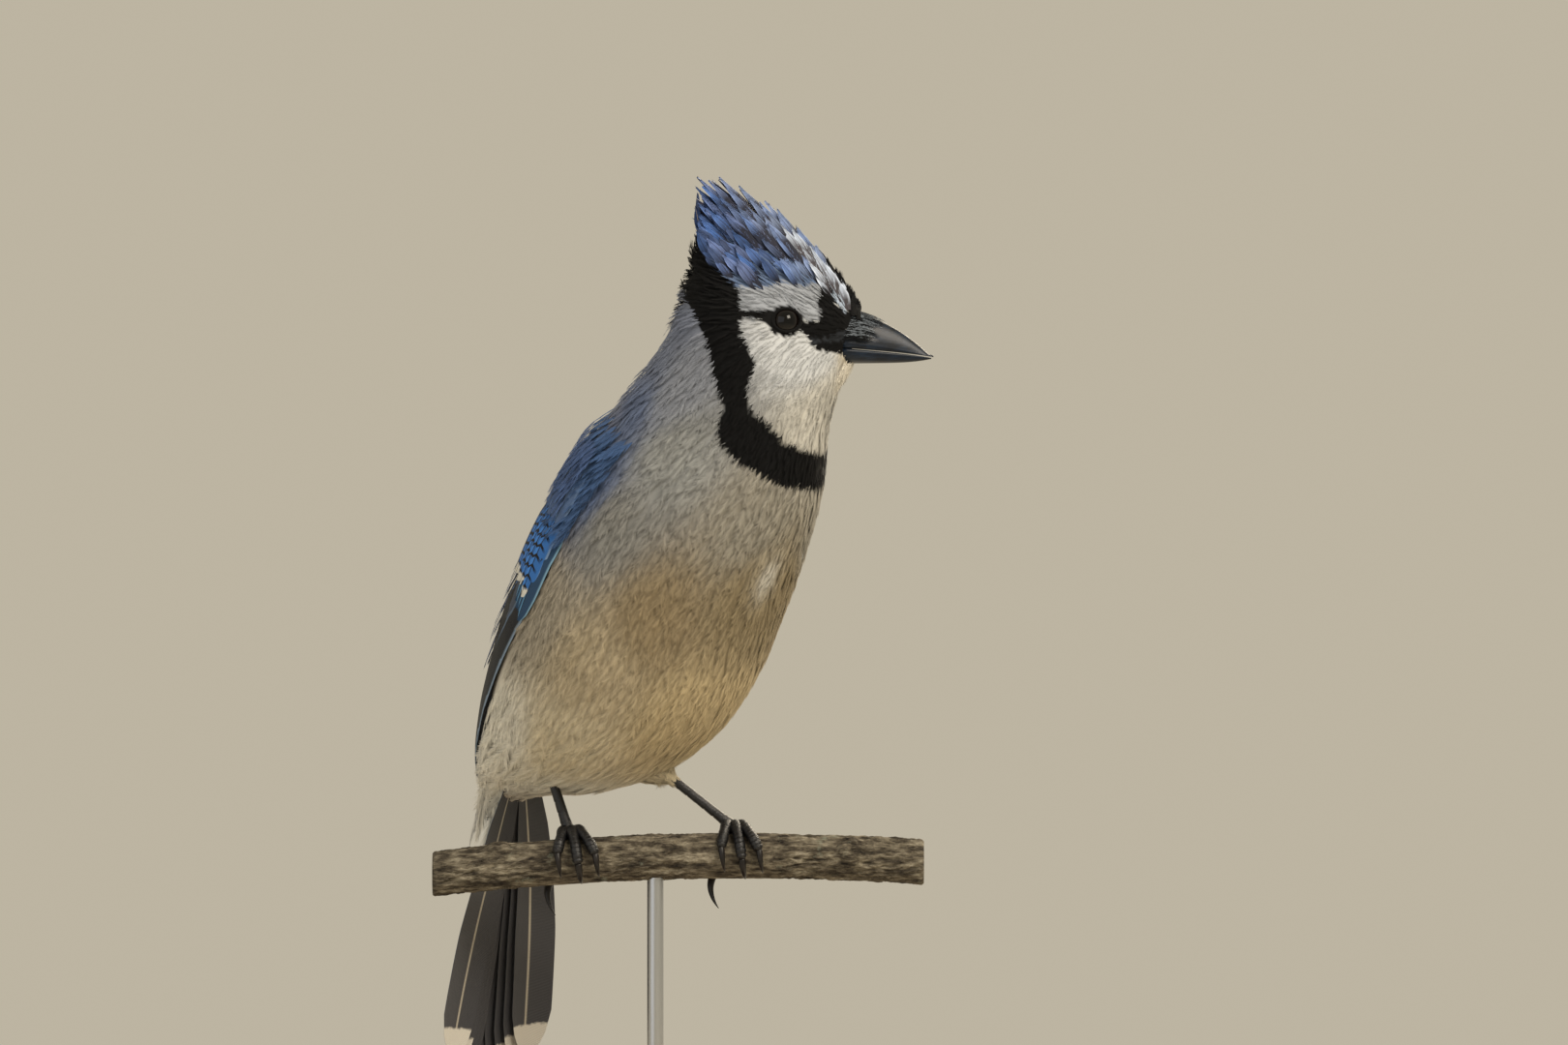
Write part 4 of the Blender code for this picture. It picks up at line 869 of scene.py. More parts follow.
@dataclass(frozen=True)
class Markings:
    """The jay's pattern: what colour grows at each place, the same for skin and coat."""

    black: str = "#060607"
    white: str = "#dcdad2"
    brow: str = "#a6abb3"
    crown: str = "#66799a"
    forehead: str = "#b9c8dc"
    bristle: str = "#2a2d32"
    buff: str = "#d8ccb2"
    edge_blur: float = 0.3
    area_turn: float = 26.0
    area_blend: float = 0.06

    def body(self, t: Array, angle: Array) -> Array:
        """Blend the body's areas by nearness.

        Args:
            t: places along the trunk.
            angle: places round it.

        Returns:
            Linear colours, one for each place.
        """
        tints = np.array([linear(area.colour) for area in BODY_AREAS])
        places, angles = np.array([(area.place, area.angle) for area in BODY_AREAS]).T
        apart = (t[:, None] - places) ** 2 + ((fold(angle)[:, None] - angles) / self.area_turn) ** 2
        weight = 1.0 / (apart + self.area_blend) ** 2
        made = (weight[..., None] * tints).sum(1) / weight.sum(1)[:, None]
        t_off = (t - RUFFLED_TUFT[0]) / TUFT_SIZE[0]
        a_off = (np.mod(angle - RUFFLED_TUFT[1] + 180.0, 360.0) - 180.0) / TUFT_SIZE[1]
        share = 0.75 * np.exp(-(t_off ** 2 + a_off ** 2))[:, None]
        return made * (1 - share) + linear(self.white) * share

    def colour(self, t: Array, angle: Array, rng: Rng) -> Array:
        """Colour at places on the body.

        Args:
            t: places along the trunk.
            angle: places round it.
            rng: source of the ragged edges between colours.

        Returns:
            Linear colours, one for each place.
        """
        spot = TRUNK.point(t, angle)
        blur = rng.normal(0.0, self.edge_blur, (len(t), 2))
        x, z = spot[:, 0] + blur[:, 0], spot[:, 2] + blur[:, 1]
        rough_t = t + blur[:, 0] * 0.055
        rough_a = fold(angle) + blur[:, 1] * 1.6
        made = self.body(t, angle)
        on_head = t > HEAD_FROM
        made[on_head & (x > BROW[0]) & (x < BROW[1]) & (z > BROW[2])] = linear(self.brow)
        crown = on_head & (z > np.interp(x, *np.array(CROWN_EDGE).T))
        made[crown] = linear(self.crown)
        made[on_head & inside(FOREHEAD, x, z)] = linear(self.forehead)
        front = ((t > 8.9) & (z < 252.5)) * smooth(49.5, 56.0, x)
        made = made * (1 - front[:, None]) + linear(self.buff) * front[:, None]
        # The line through the eye, its ring, the necklace, the mask and the dark nape
        line = np.interp(x, (20.0, 24.0, 31.0), (1.5, 1.0, 1.9))
        black = on_head & (x > 19.0) & (x < 33.0) & (np.abs(z - 260.6 + (x - 22.0) * 0.1) < line)
        black |= on_head & (np.hypot(x - EYE_PLACE[0], (z - 257.9) / EYE_SQUINT) < 5.1)
        black |= inside(NECKLACE, rough_t, rough_a) & (~crown | (spot[:, 0] < 14.0))
        black |= on_head & (inside(MASK, x, z) | inside(FRONTAL, x, z) | inside(GAPE, x, z))
        black |= (t > 12.0) & (fold(angle) > 108.0) & (x < 21.0) & ~crown
        made[on_head & inside(BRISTLED, x, z)] = linear(self.bristle)
        made[black] = linear(self.black)
        return made


MARKINGS = Markings()


def eye_frame(side: Side) -> tuple[Array, Array, Array, Array]:
    """Find where an eye sits.

    Args:
        side: the bird's side.

    Returns:
        Its centre, its outward axis, and two axes across it, forward and up.
    """
    turn = math.radians(EYE_FORWARD_TURN)
    out = unit(np.array([math.sin(turn), side.value * math.cos(turn), EYE_UPWARD_LEAN]))
    centre = np.array([EYE_PLACE[0], HEAD_MID_Y + side.value * EYE_OFFSET, EYE_PLACE[1]])
    ahead = unit(np.cross(np.array([0.0, 0.0, 1.0]), out)) * -side.value
    ahead = ahead * np.sign(ahead[0])
    return centre, out, ahead, unit(np.cross(out, ahead) * side.value)


TAIL_ALONG = np.array([-0.1462, 0.1227, -0.9816])
CREST_ALONG = unit(np.array([-0.62, 0.0, 0.78]))
# Where the coat turns from the trunk's flow to the face's, as t
FACE_FLOW = (9.6, 11.3)
TRIAL_ROOTS = 26000
COAT_TIP_SHADE = 1.06


def lie(t: Array, p: Array, normal: Array, up: Array) -> Array:
    """Find how the coat lies: back from the bill on the head, down the trunk below it.

    Args:
        t: places along the trunk.
        p: points there.
        normal: outward normals there.
        up: directions up the trunk there.

    Returns:
        Unit directions in the surface, which part round the eyes.
    """
    share = smooth(*FACE_FLOW, t)[:, None]
    flow = unit(unit(in_plane(p - FACE_ROOT, normal)) * share - up * (1.0 - share))
    for side in Side:
        away = p - eye_frame(side)[0]
        near = np.exp(-(((np.linalg.norm(away, axis=-1) - 5.0) / 2.2) ** 2))[:, None]
        flow = flow + away / 6.0 * near * 0.8
    return unit(in_plane(flow, normal))


def glide(surface: Loft, start: tuple[Array, Array], flow: Array, length: Array,
          grow: Array) -> tuple[Array, Array]:
    """Point reached along the surface from a place, by a length in a direction.

    Args:
        surface: what it follows.
        start: places t and angle.
        flow: unit directions in the surface.
        length: how far to go.
        grow: height over the surface at the end.

    Returns:
        The points reached, which past the trunk's ends run on along the tail or the crest, and
        their places (t, angle) as pairs.
    """
    t, angle = start
    step = 0.02
    by_t = (surface.point(t + step, angle) - surface.point(t - step, angle)) / (2 * step)
    by_a = surface.point(t, angle + 0.5) - surface.point(t, angle - 0.5)
    along_t = unit(by_t)
    scale_t = np.maximum(np.linalg.norm(by_t, axis=-1), 1.5)
    scale_a = np.maximum(np.linalg.norm(by_a, axis=-1), 0.03)
    part_t = np.sum(flow * along_t, -1)
    rest = flow - along_t * part_t[:, None]
    part_a = np.sum(rest * unit(by_a), -1)
    t_end = t + part_t * length / scale_t
    a_end = angle + np.clip(part_a * length / scale_a, -60.0, 60.0)
    low = -surface.shift + 0.05
    high = len(surface.rows) - 1 - surface.shift - 0.05
    short = np.maximum(low - t_end, 0.0)[:, None] * scale_t[:, None]
    past = np.maximum(t_end - high, 0.0)[:, None] * scale_t[:, None]
    reached = surface.point(np.clip(t_end, low, high), a_end, grow) + TAIL_ALONG * short + CREST_ALONG * past
    return reached, np.stack([t_end, a_end], -1)


@dataclass(frozen=True)
class Tract:
    """A tract of small feathers: where it grows, and the size and set of its feathers."""

    name: str
    places: Pair
    angles: Pair
    spacing: float
    length: Pair
    width: float
    barbs: int
    rise: Spot
    barb_width: float
    wander: float
    seed: int
    first: float = 0.25
    spread: Pair = (36.0, 20.0)
    ruffle: float = 0.1
    surface: Loft = TRUNK
    tint: str = ""
    mottle: float = 0.04
    # Darkness of the barbs' roots, partly painted shade in the gaps between them
    base_shade: float = 0.86

    def roots(self, rng: Rng) -> tuple[Array, Array]:
        """Scatter roots evenly over the tract, on both sides of the bird.

        Args:
            rng: seeded source.

        Returns:
            Places t and angle of the roots.
        """
        t = rng.uniform(*self.places, TRIAL_ROOTS)
        a = rng.uniform(*self.angles, TRIAL_ROOTS)
        a = np.where(rng.random(TRIAL_ROOTS) < 0.5, a, -a)
        p = self.surface.point(t, a)
        cell = np.floor(p / self.spacing).astype(int)
        taken: dict[tuple[int, int, int], list[Array]] = {}
        kept = []
        for k in range(TRIAL_ROOTS):
            i, j, m = cell[k]
            near = (
                q for di in (-1, 0, 1) for dj in (-1, 0, 1) for dm in (-1, 0, 1)
                for q in taken.get((i + di, j + dj, m + dm), ())
            )
            if all((p[k][0] - q[0]) ** 2 + (p[k][1] - q[1]) ** 2 + (p[k][2] - q[2]) ** 2 > self.spacing ** 2
                   for q in near):
                taken.setdefault((i, j, m), []).append(p[k])
                kept.append(k)
        return t[kept], a[kept]


def bare(t: Array, angle: Array, p: Array) -> Array:
    """Tell where no feather roots: on the eyes, under the folded wings, and where the bill leaves.

    Args:
        t: places along the trunk.
        angle: places round it.
        p: points there.

    Returns:
        True for each bare place.
    """
    result = np.zeros(len(t), bool)
    for side in Side:
        centre, out, ahead, up = eye_frame(side)
        away = p - centre
        result |= (np.hypot(away @ ahead, away @ up / EYE_SQUINT) < 4.85) & (away @ out > 0)
    folded = fold(angle)
    wing_edge = np.interp(t, (2.4, 3.4, 4.3, 4.9, 5.7, 6.7), (146.0, 133.0, 120.0, 116.0, 118.0, 136.0))
    result |= (t > 2.6) & (t < 6.7) & (folded > wing_edge) & (folded < 158.0)
    x, y, z = p.T
    return result | (x > 55.2) & (np.abs(y - HEAD_MID_Y) < 5.0) & (z < 260.5) & (z > 246.0)


TRACTS = (
    Tract("vent", (0.15, 2.6), (0.0, 112.0), 2.9, (15.0, 20.0), 4.4, 46, (-0.8, 0.8, 1.6), 0.3, 0.22, 11),
    Tract("rump", (0.15, 2.9), (112.0, 180.0), 3.6, (12.0, 16.0), 4.0, 36, (-0.8, 0.4, 0.8), 0.4, 0.12, 12),
    Tract("belly", (2.5, 4.9), (0.0, 92.0), 2.2, (10.0, 14.0), 3.9, 46, (-0.8, 0.0, 0.25), 0.22, 0.18, 13),
    Tract("flanks", (2.5, 5.6), (90.0, 111.0), 2.2, (10.0, 13.0), 3.9, 46, (-0.8, 0.1, 0.4), 0.23, 0.22,
          14),
    Tract("breast", (4.8, 6.6), (0.0, 96.0), 2.0, (8.0, 11.5), 3.4, 44, (-0.7, 0.0, 0.2), 0.2, 0.18, 15),
    Tract("upper_breast", (6.5, 8.3), (0.0, 96.0), 1.9, (7.0, 10.0), 3.0, 42, (-0.7, 0.0, 0.25), 0.2, 0.24,
          24, ruffle=0.16),
    Tract("shoulders", (5.5, 8.4), (95.0, 138.0), 2.0, (7.5, 10.0), 3.0, 42, (-0.7, 0.1, 0.35), 0.22, 0.2,
          16),
    Tract("back", (2.8, 7.2), (140.0, 180.0), 3.0, (11.0, 14.0), 3.4, 36, (-0.9, 0.8, 1.4), 0.3, 0.12, 17),
    Tract("mantle", (6.9, 8.6), (128.0, 180.0), 2.4, (8.5, 11.5), 2.9, 42, (-0.7, 0.5, 1.3), 0.23, 0.18,
          18),
    # The throat and face have darker barb roots as painted shade, so the gaps between their barbs read grey
    Tract("throat", (8.2, 9.9), (0.0, 92.0), 1.7, (5.0, 7.5), 1.8, 28, (-0.7, 0.1, 0.3), 0.19, 0.18, 19,
          mottle=0.09, base_shade=0.66),
    Tract("neck", (8.4, 11.2), (90.0, 180.0), 1.9, (6.0, 8.5), 2.1, 32, (-0.7, 0.1, 0.35), 0.21, 0.18, 20),
    Tract("face", (9.7, 12.6), (0.0, 108.0), 1.2, (3.0, 4.2), 1.0, 14, (-0.7, 0.0, 0.2), 0.17, 0.14, 21,
          first=0.15, spread=(32.0, 12.0), mottle=0.11, base_shade=0.58),
    Tract("crown", (12.4, 15.9), (0.0, 180.0), 1.5, (5.0, 8.0), 1.4, 18, (-0.7, 0.2, 0.6), 0.22, 0.12, 22,
          first=0.2, spread=(26.0, 8.0)),
    Tract("nape", (10.8, 13.6), (104.0, 180.0), 1.7, (6.5, 9.5), 1.7, 26, (-0.8, 0.4, 1.3), 0.24, 0.26, 23,
          first=0.2, spread=(26.0, 8.0), ruffle=0.6),
)

WING_TRACTS = (
    Tract("scapulars", (3.6, 7.3), (143.0, 170.0), 3.4, (13.0, 17.0), 4.0, 30, (1.2, 3.4, 3.9), 0.4, 0.1,
          31, surface=WING_BED, tint="#626f8e", mottle=0.08, base_shade=0.6),
    Tract("lesser_coverts", (6.1, 7.65), (106.0, 152.0), 2.1, (7.5, 10.0), 3.0, 32, (-0.3, 1.7, 3.3), 0.26,
          0.08, 32, surface=WING_BED, tint="#506f9f", mottle=0.14, base_shade=0.5),
    Tract("upper_coverts", (6.32, 7.3), (118.0, 153.5), 1.9, (6.0, 8.0), 2.6, 30, (2.9, 4.6, 4.9), 0.24,
          0.08, 33, surface=WING_BED, tint="#566fa0", mottle=0.14, base_shade=0.55),
)


@dataclass(frozen=True)
class Coat:
    """The small feathers of one tract, grown along the lie of the coat."""

    tract: Tract

    def build(self, material: Material) -> Piece:
        """Grow the tract's feathers as one mesh.

        Args:
            material: the plumage.

        Returns:
            The piece.
        """
        tract = self.tract
        rng = np.random.default_rng(tract.seed)
        t, a = tract.roots(rng)
        p, normal, up = tract.surface.surface(t, a)
        flow = -up
        if tract.surface is TRUNK:
            keep = ~bare(t, a, p)
            t, a, p, normal, up = (v[keep] for v in (t, a, p, normal, up))
            flow = lie(t, p, normal, up)
        n = len(t)
        flow = unit(flow + np.cross(normal, flow) * rng.normal(0.0, tract.wander, n)[:, None])
        length = rng.uniform(*tract.length, n)
        root_rise, handle_rise, tip_rise = tract.rise
        ruffle = np.abs(rng.normal(0.0, tract.ruffle, n))
        root = tract.surface.point(t, a, root_rise)
        handle, _ = glide(tract.surface, (t, a), flow, length * 0.5, handle_rise + ruffle * 0.5)
        tip, end = glide(tract.surface, (t, a), flow, length, tip_rise + ruffle)
        tone = rng.normal(1.0, tract.mottle, n)[:, None]
        colour = (linear(tract.tint) if tract.tint else np.ones(3)) * tone
        sheaf = Sheaf()
        Feathers(root, handle, tip, normal, tract.width * rng.uniform(0.85, 1.15, n), colour,
                 (np.stack([t, a], -1), end), tract.barbs, tract.barb_width, tract.base_shade, tract.spread,
                 tract.first, not tract.tint, COAT_TIP_SHADE).into(sheaf, rng)
        return sheaf.mesh(f"coat_{tract.name}", material)


@dataclass(frozen=True)
class VaneShape:
    """Outline and section of one kind of flight or tail feather."""

    profile: Outline
    outer: float = 0.38
    camber: float = 0.09
    thick: float = 0.4
    edge: float = 0.14
    rib_width: float = 0.16
    rib_rise: float = 0.35
    rows: int = 26
    columns: int = 9


FLIGHT = VaneShape(((0.0, 0.5), (0.15, 0.8), (0.5, 1.0), (0.8, 0.86), (0.93, 0.6), (1.0, 0.12)))
COVERT = VaneShape(((0.0, 0.6), (0.4, 1.0), (0.75, 0.95), (0.92, 0.62), (1.0, 0.15)), outer=0.44, rows=14)
RECTRIX = VaneShape(((0.0, 0.3), (0.25, 0.75), (0.6, 1.0), (0.86, 0.98), (0.95, 0.72), (1.0, 0.2)),
                    outer=0.42, rows=30)
ATLAS = 8


def plate(top: Array, low: Array, flip: bool) -> Shell:
    """Close a plate between two grids of points.

    Args:
        top: its upper points, of shape (rows, columns, 3).
        low: its lower points.
        flip: whether its triangles turn the other way round.

    Returns:
        Points, the upper ones first, and triangles.
    """
    rows, columns = top.shape[:2]
    skip = rows * columns
    grid = np.arange(skip).reshape(rows, columns)
    a, b, c, d = (g.ravel() for g in (grid[:-1, :-1], grid[:-1, 1:], grid[1:, 1:], grid[1:, :-1]))
    rim = np.concatenate([grid[0, :-1], grid[:-1, -1], grid[-1, :0:-1], grid[:0:-1, 0]])
    ahead = np.roll(rim, -1)
    corners = ((a, b, c), (a, c, d), (a + skip, c + skip, b + skip), (a + skip, d + skip, c + skip),
               (rim, rim + skip, ahead + skip), (rim, ahead + skip, ahead))
    faces = np.concatenate([np.stack(three, -1) for three in corners])
    points = np.concatenate([top.reshape(-1, 3), low.reshape(-1, 3)])
    return points, faces[:, ::-1] if flip else faces


@dataclass(frozen=True)
class Vane:
    """One closed, thin, cambered vane along a path."""

    shape: VaneShape
    path: Array
    normals: Array
    width: float
    outer_side: float
    cell: int
    cells: int = ATLAS
    tone: Spot = (1.0, 1.0, 1.0)

    def into(self, sheaf: Sheaf) -> None:
        """Add the vane's two faces and rim to a sheaf, with its own coordinates in quill.

        Args:
            sheaf: what takes the triangles.
        """
        shape = self.shape
        along = unit(np.gradient(self.path, axis=0))
        normals = unit(in_plane(self.normals, along))
        side = (np.cross(along, normals) * self.outer_side)[:, None]
        normals = normals[:, None]
        s = np.linspace(0.0, 1.0, len(self.path))[:, None]
        across = np.linspace(-1.0, 1.0, shape.columns)
        half = np.interp(s, *np.array(shape.profile).T) * self.width
        offset = half * (across * np.where(across < 0, 1.0 - shape.outer, shape.outer))
        drop = shape.camber * self.width * across ** 2
        rib = shape.rib_rise * np.exp(-(across / shape.rib_width) ** 2)
        thick = shape.edge + (shape.thick - shape.edge) * (1.0 - np.abs(across)) ** 0.7 + rib
        base = self.path[:, None] + side * offset[..., None] - normals * drop[:, None]
        raised = normals * (thick / 2)[:, None] * (0.35 + 0.65 * np.minimum(1.0, (1.0 - s) * 3.0))[..., None]
        points, faces = plate(base + raised, base - raised, self.outer_side < 0)
        length = np.concatenate([[0.0], np.cumsum(np.linalg.norm(np.diff(self.path, axis=0), axis=-1))])
        quill = np.stack(np.broadcast_arrays(across, (length[-1] - length)[:, None], 1.0), -1)
        quills = np.concatenate([quill, quill * (1.0, 1.0, 0.0)]).reshape(-1, 3)
        lean = normals + side * (across * 0.25)[:, None]
        soft = np.concatenate([lean, -lean]).reshape(-1, 3)
        corner = np.array([self.cell % self.cells, self.cell // self.cells]) / self.cells
        place = corner + np.stack(np.broadcast_arrays(0.25 + 0.22 * across, 0.04 + 0.92 * s), -1) / self.cells
        places = np.concatenate([place, place + (0.5 / self.cells, 0.0)]).reshape(-1, 2)
        sheaf.add(points, faces, np.tile(self.tone, (len(points), 1)), soft, places, quills)


CREST_OUTLINE = (
    (58.6, 263.6), (55.9, 268.2), (51.0, 274.6), (40.4, 286.2), (29.6, 295.2), (17.4, 301.4), (9.2, 302.2),
    (9.2, 295.0), (9.8, 287.0),
)
CREST_ROOTS = ((58.0, 260.4), (53.5, 264.4), (48.5, 268.6), (42.5, 271.4), (34.0, 272.4), (24.0, 268.6))
CREST_ATLAS = 18
CREST_BLUE = "#4566a2"
CREST_PALE = "#61719c"
LANCE = VaneShape(((0.0, 0.45), (0.35, 0.9), (0.62, 1.0), (0.84, 0.66), (1.0, 0.06)), outer=0.5, camber=0.14,
                  thick=0.3, rows=12, columns=7)


@dataclass(frozen=True)
class Crest:
    """The raised crest: lance-shaped feathers along the crown's ridge, and shorter ones down its flanks."""

    ridge_rows: int = 5
    ridge_count: int = 17
    flank_rows: int = 9
    flank_count: int = 12
    barbs: int = 44
    width: float = 3.4
    flank_width: float = 2.8
    seed: int = 41

    def ridge(self, rng: Rng) -> list[Array]:
        """Feathers whose tips make the crest's outline.

        Args:
            rng: seeded source of chance.

        Returns:
            Roots, tips, facing directions and (t, angle) places.
        """
        outline = np.array(CREST_OUTLINE)
        roots = np.array(CREST_ROOTS)
        at = np.arange(len(outline))
        n = self.ridge_count
        found = []
        for row in range(self.ridge_rows):
            v = row / (self.ridge_rows - 1)
            for side in (-1.0, 1.0):
                u = np.clip((np.arange(n) + rng.uniform(-0.35, 0.35, n)) / (n - 1), 0.0, 1.0)
                place = np.clip(0.02 + 0.12 * v + (0.98 - 0.16 * v) * u, 0.0, 1.0) * (len(outline) - 1)
                tips = [np.interp(place, at, outline[:, k]) for k in (0, 1)]
                starts = [np.interp(u, np.linspace(0, 1, len(roots)), roots[:, k]) for k in (0, 1)]
                reach = (1.0 - 0.3 * v) * rng.uniform(0.96, 1.03, n)
                x, z = ((tips[k] - starts[k]) * reach for k in (0, 1))
                y = side * (0.4 + 2.4 * v) * np.minimum(1.0, u * 4.0) - side * 5.0 * v + rng.normal(0, 0.4, n)
                aim = np.stack([x, y, z], -1)
                beside = side * (0.5 + 7.2 * v * (0.5 + 0.5 * u))
                root = np.stack([starts[0], HEAD_MID_Y + beside, starts[1] - 1.4 * v], -1)
                ahead = unit(np.stack([z, np.zeros(n), -x], -1))
                turn = math.radians(48.0 + 26.0 * v)
                face = ahead * math.cos(turn) + np.array([0.0, side * math.sin(turn), 0.0])
                spot = np.stack([14.6 + 1.2 * u, 180.0 - side * 60.0 * v * np.ones(n)], -1)
                found.append((root, root + aim, unit(face + rng.normal(0, 0.1, face.shape)), spot))
        return [np.concatenate(part) for part in zip(*found)]

    def flank(self, rng: Rng) -> list[Array]:
        """Feathers on both sides of the crown, which lie back and up along it.

        Args:
            rng: seeded source of chance.

        Returns:
            Roots, tips, facing directions and (t, angle) places.
        """
        n = self.flank_count
        found = []
        for row in range(self.flank_rows):
            for side in (-1.0, 1.0):
                t = 15.2 - 0.4 * row + rng.uniform(-0.12, 0.12, n)
                a = 34.0 + 126.0 * (np.arange(n) + rng.uniform(-0.4, 0.4, n)) / (n - 1)
                angle = np.mod(-side * a, 360.0)
                p, normal, _ = TRUNK.surface(t, angle)
                kept = p[:, 2] > np.interp(p[:, 0], *np.array(CROWN_EDGE).T) - 1.2
                steer = CREST_ALONG - normal * np.sum(normal * CREST_ALONG, -1, keepdims=True) * 0.8
                length = rng.uniform(8.5, 12.5, n) + 3.5 * smooth(13.5, 15.2, t)
                tip = p + unit(steer + rng.normal(0, 0.08, steer.shape)) * length[:, None] + normal * 0.7
                tip[:, 0] = np.maximum(tip[:, 0], rng.uniform(8.2, 11.5, n))
                found.append([v[kept] for v in (p - normal * 0.5, tip, normal, np.stack([t, angle], -1))])
        return [np.concatenate(part) for part in zip(*found)]

    def tones(self, root: Array, rng: Rng) -> Array:
        """Dye each feather: black by the bill, a pale stripe behind that, and blue further back.

        Args:
            root: the feathers' roots.
            rng: seeded source of chance.

        Returns:
            What multiplies the crest's blue, one for each feather.
        """
        blue = linear(CREST_BLUE)
        mixed = rng.uniform(0.0, 1.0, (len(root), 1))
        colour = (blue * (1 - mixed) + linear(CREST_PALE) * mixed) * rng.uniform(0.45, 1.35, mixed.shape)
        x, y, _ = root.T
        beside = np.abs(y - HEAD_MID_Y)
        front = smooth(34.0, 46.0, x)[:, None] * 0.45
        colour = colour * (1 - front) + linear("#9fb0cf") * front
        colour[(x > 46.5) & (x < 55.2) & (beside > 2.2)] = linear("#c0ccdf")
        colour[(x >= 55.2) | (x > 51.0) & (beside <= 2.2)] = linear("#08090c")
        return colour / blue

    def build(self, vane: Material, plumage: Material) -> list[Piece]:
        """Grow the crest out to its outline.

        Args:
            vane: finish of the feathers' blades.
            plumage: finish of their loose edges.

        Returns:
            The blades and the loose edges.
        """
        rng = np.random.default_rng(self.seed)
        ridge = self.ridge(rng)
        root, tip, face, place = (np.concatenate(both) for both in zip(ridge, self.flank(rng)))
        on_ridge = np.arange(len(root)) < len(ridge[0])
        length = np.linalg.norm(tip - root, axis=-1)
        handle = (root + tip) / 2 + face * (length * 0.1)[:, None]
        tone = self.tones(root, rng)
        wide = np.where(on_ridge, self.width, self.flank_width) * rng.uniform(0.85, 1.2, len(root))
        wide = wide * np.clip(length / 9.0, 0.35, 1.0)
        blades = Sheaf()
        s = np.linspace(0.0, 1.0, LANCE.rows)
        for k in range(len(root)):
            path = bezier((root[k], handle[k], tip[k]), s)
            normals = np.tile(face[k], (LANCE.rows, 1))
            Vane(LANCE, path, normals, wide[k], 1.0, k, CREST_ATLAS, tuple(tone[k])).into(blades)
        barbs = Sheaf()
        # Barb roots at 0.4 are painted shade in the crest's gaps, and tips at 1.55 are painted highlights
        Feathers(root, handle + face * 0.25, tip + face * 0.1, face, wide * 0.8, linear(CREST_BLUE) * tone,
                 (place, place), self.barbs, 0.2, 0.4, (22.0, 9.0), 0.2, tip_shade=1.55,
                 blunt=0.3).into(barbs, rng)
        return [blades.mesh("crest_blades", vane), barbs.mesh("crest_barbs", plumage)]


@dataclass(frozen=True)
class FeatherRow:
    """One tier of a folded wing, lower edge first; places are (t, angle) on the wing's bed."""

    name: str
    count: int
    roots: tuple[Pair, Pair]
    tips: tuple[Pair, Pair]
    bulge: float
    width: float
    height: Pair
    shape: VaneShape
    finish: str


WING_ROWS = (
    FeatherRow("primaries", 9, ((5.4, 110.0), (5.2, 140.0)), ((3.4, 131.0), (0.7, 168.0)), 1.2, 9.6,
               (1.5, 2.4), FLIGHT, "primary_vanes"),
    FeatherRow("secondaries", 7, ((5.6, 123.0), (5.6, 152.0)), ((3.0, 146.0), (2.3, 170.0)), 0.1, 10.5,
               (2.3, 2.9), FLIGHT, "secondary_vanes"),
    FeatherRow("tertials", 4, ((6.1, 147.0), (6.3, 160.0)), ((3.1, 160.0), (3.0, 172.0)), -0.3, 12.0,
               (3.0, 3.5), FLIGHT, "tertial_vanes"),
    FeatherRow("primary_coverts", 4, ((6.3, 114.0), (6.4, 121.0)), ((4.4, 112.0), (4.5, 120.0)), 0.0, 7.5,
               (2.2, 2.8), COVERT, "alula_vanes"),
    FeatherRow("greater_coverts", 8, ((6.3, 120.0), (6.4, 150.0)), ((4.75, 115.0), (4.5, 157.0)), -0.1, 8.6,
               (3.0, 4.2), COVERT, "covert_vanes"),
    FeatherRow("median_coverts", 7, ((6.95, 125.0), (7.1, 150.0)), ((5.9, 116.0), (5.7, 152.0)), -0.1, 8.6,
               (3.3, 4.3), COVERT, "median_vanes"),
)
ARM_DOWN = "#3e4757"
SHINGLE_DEGREES = 5.0


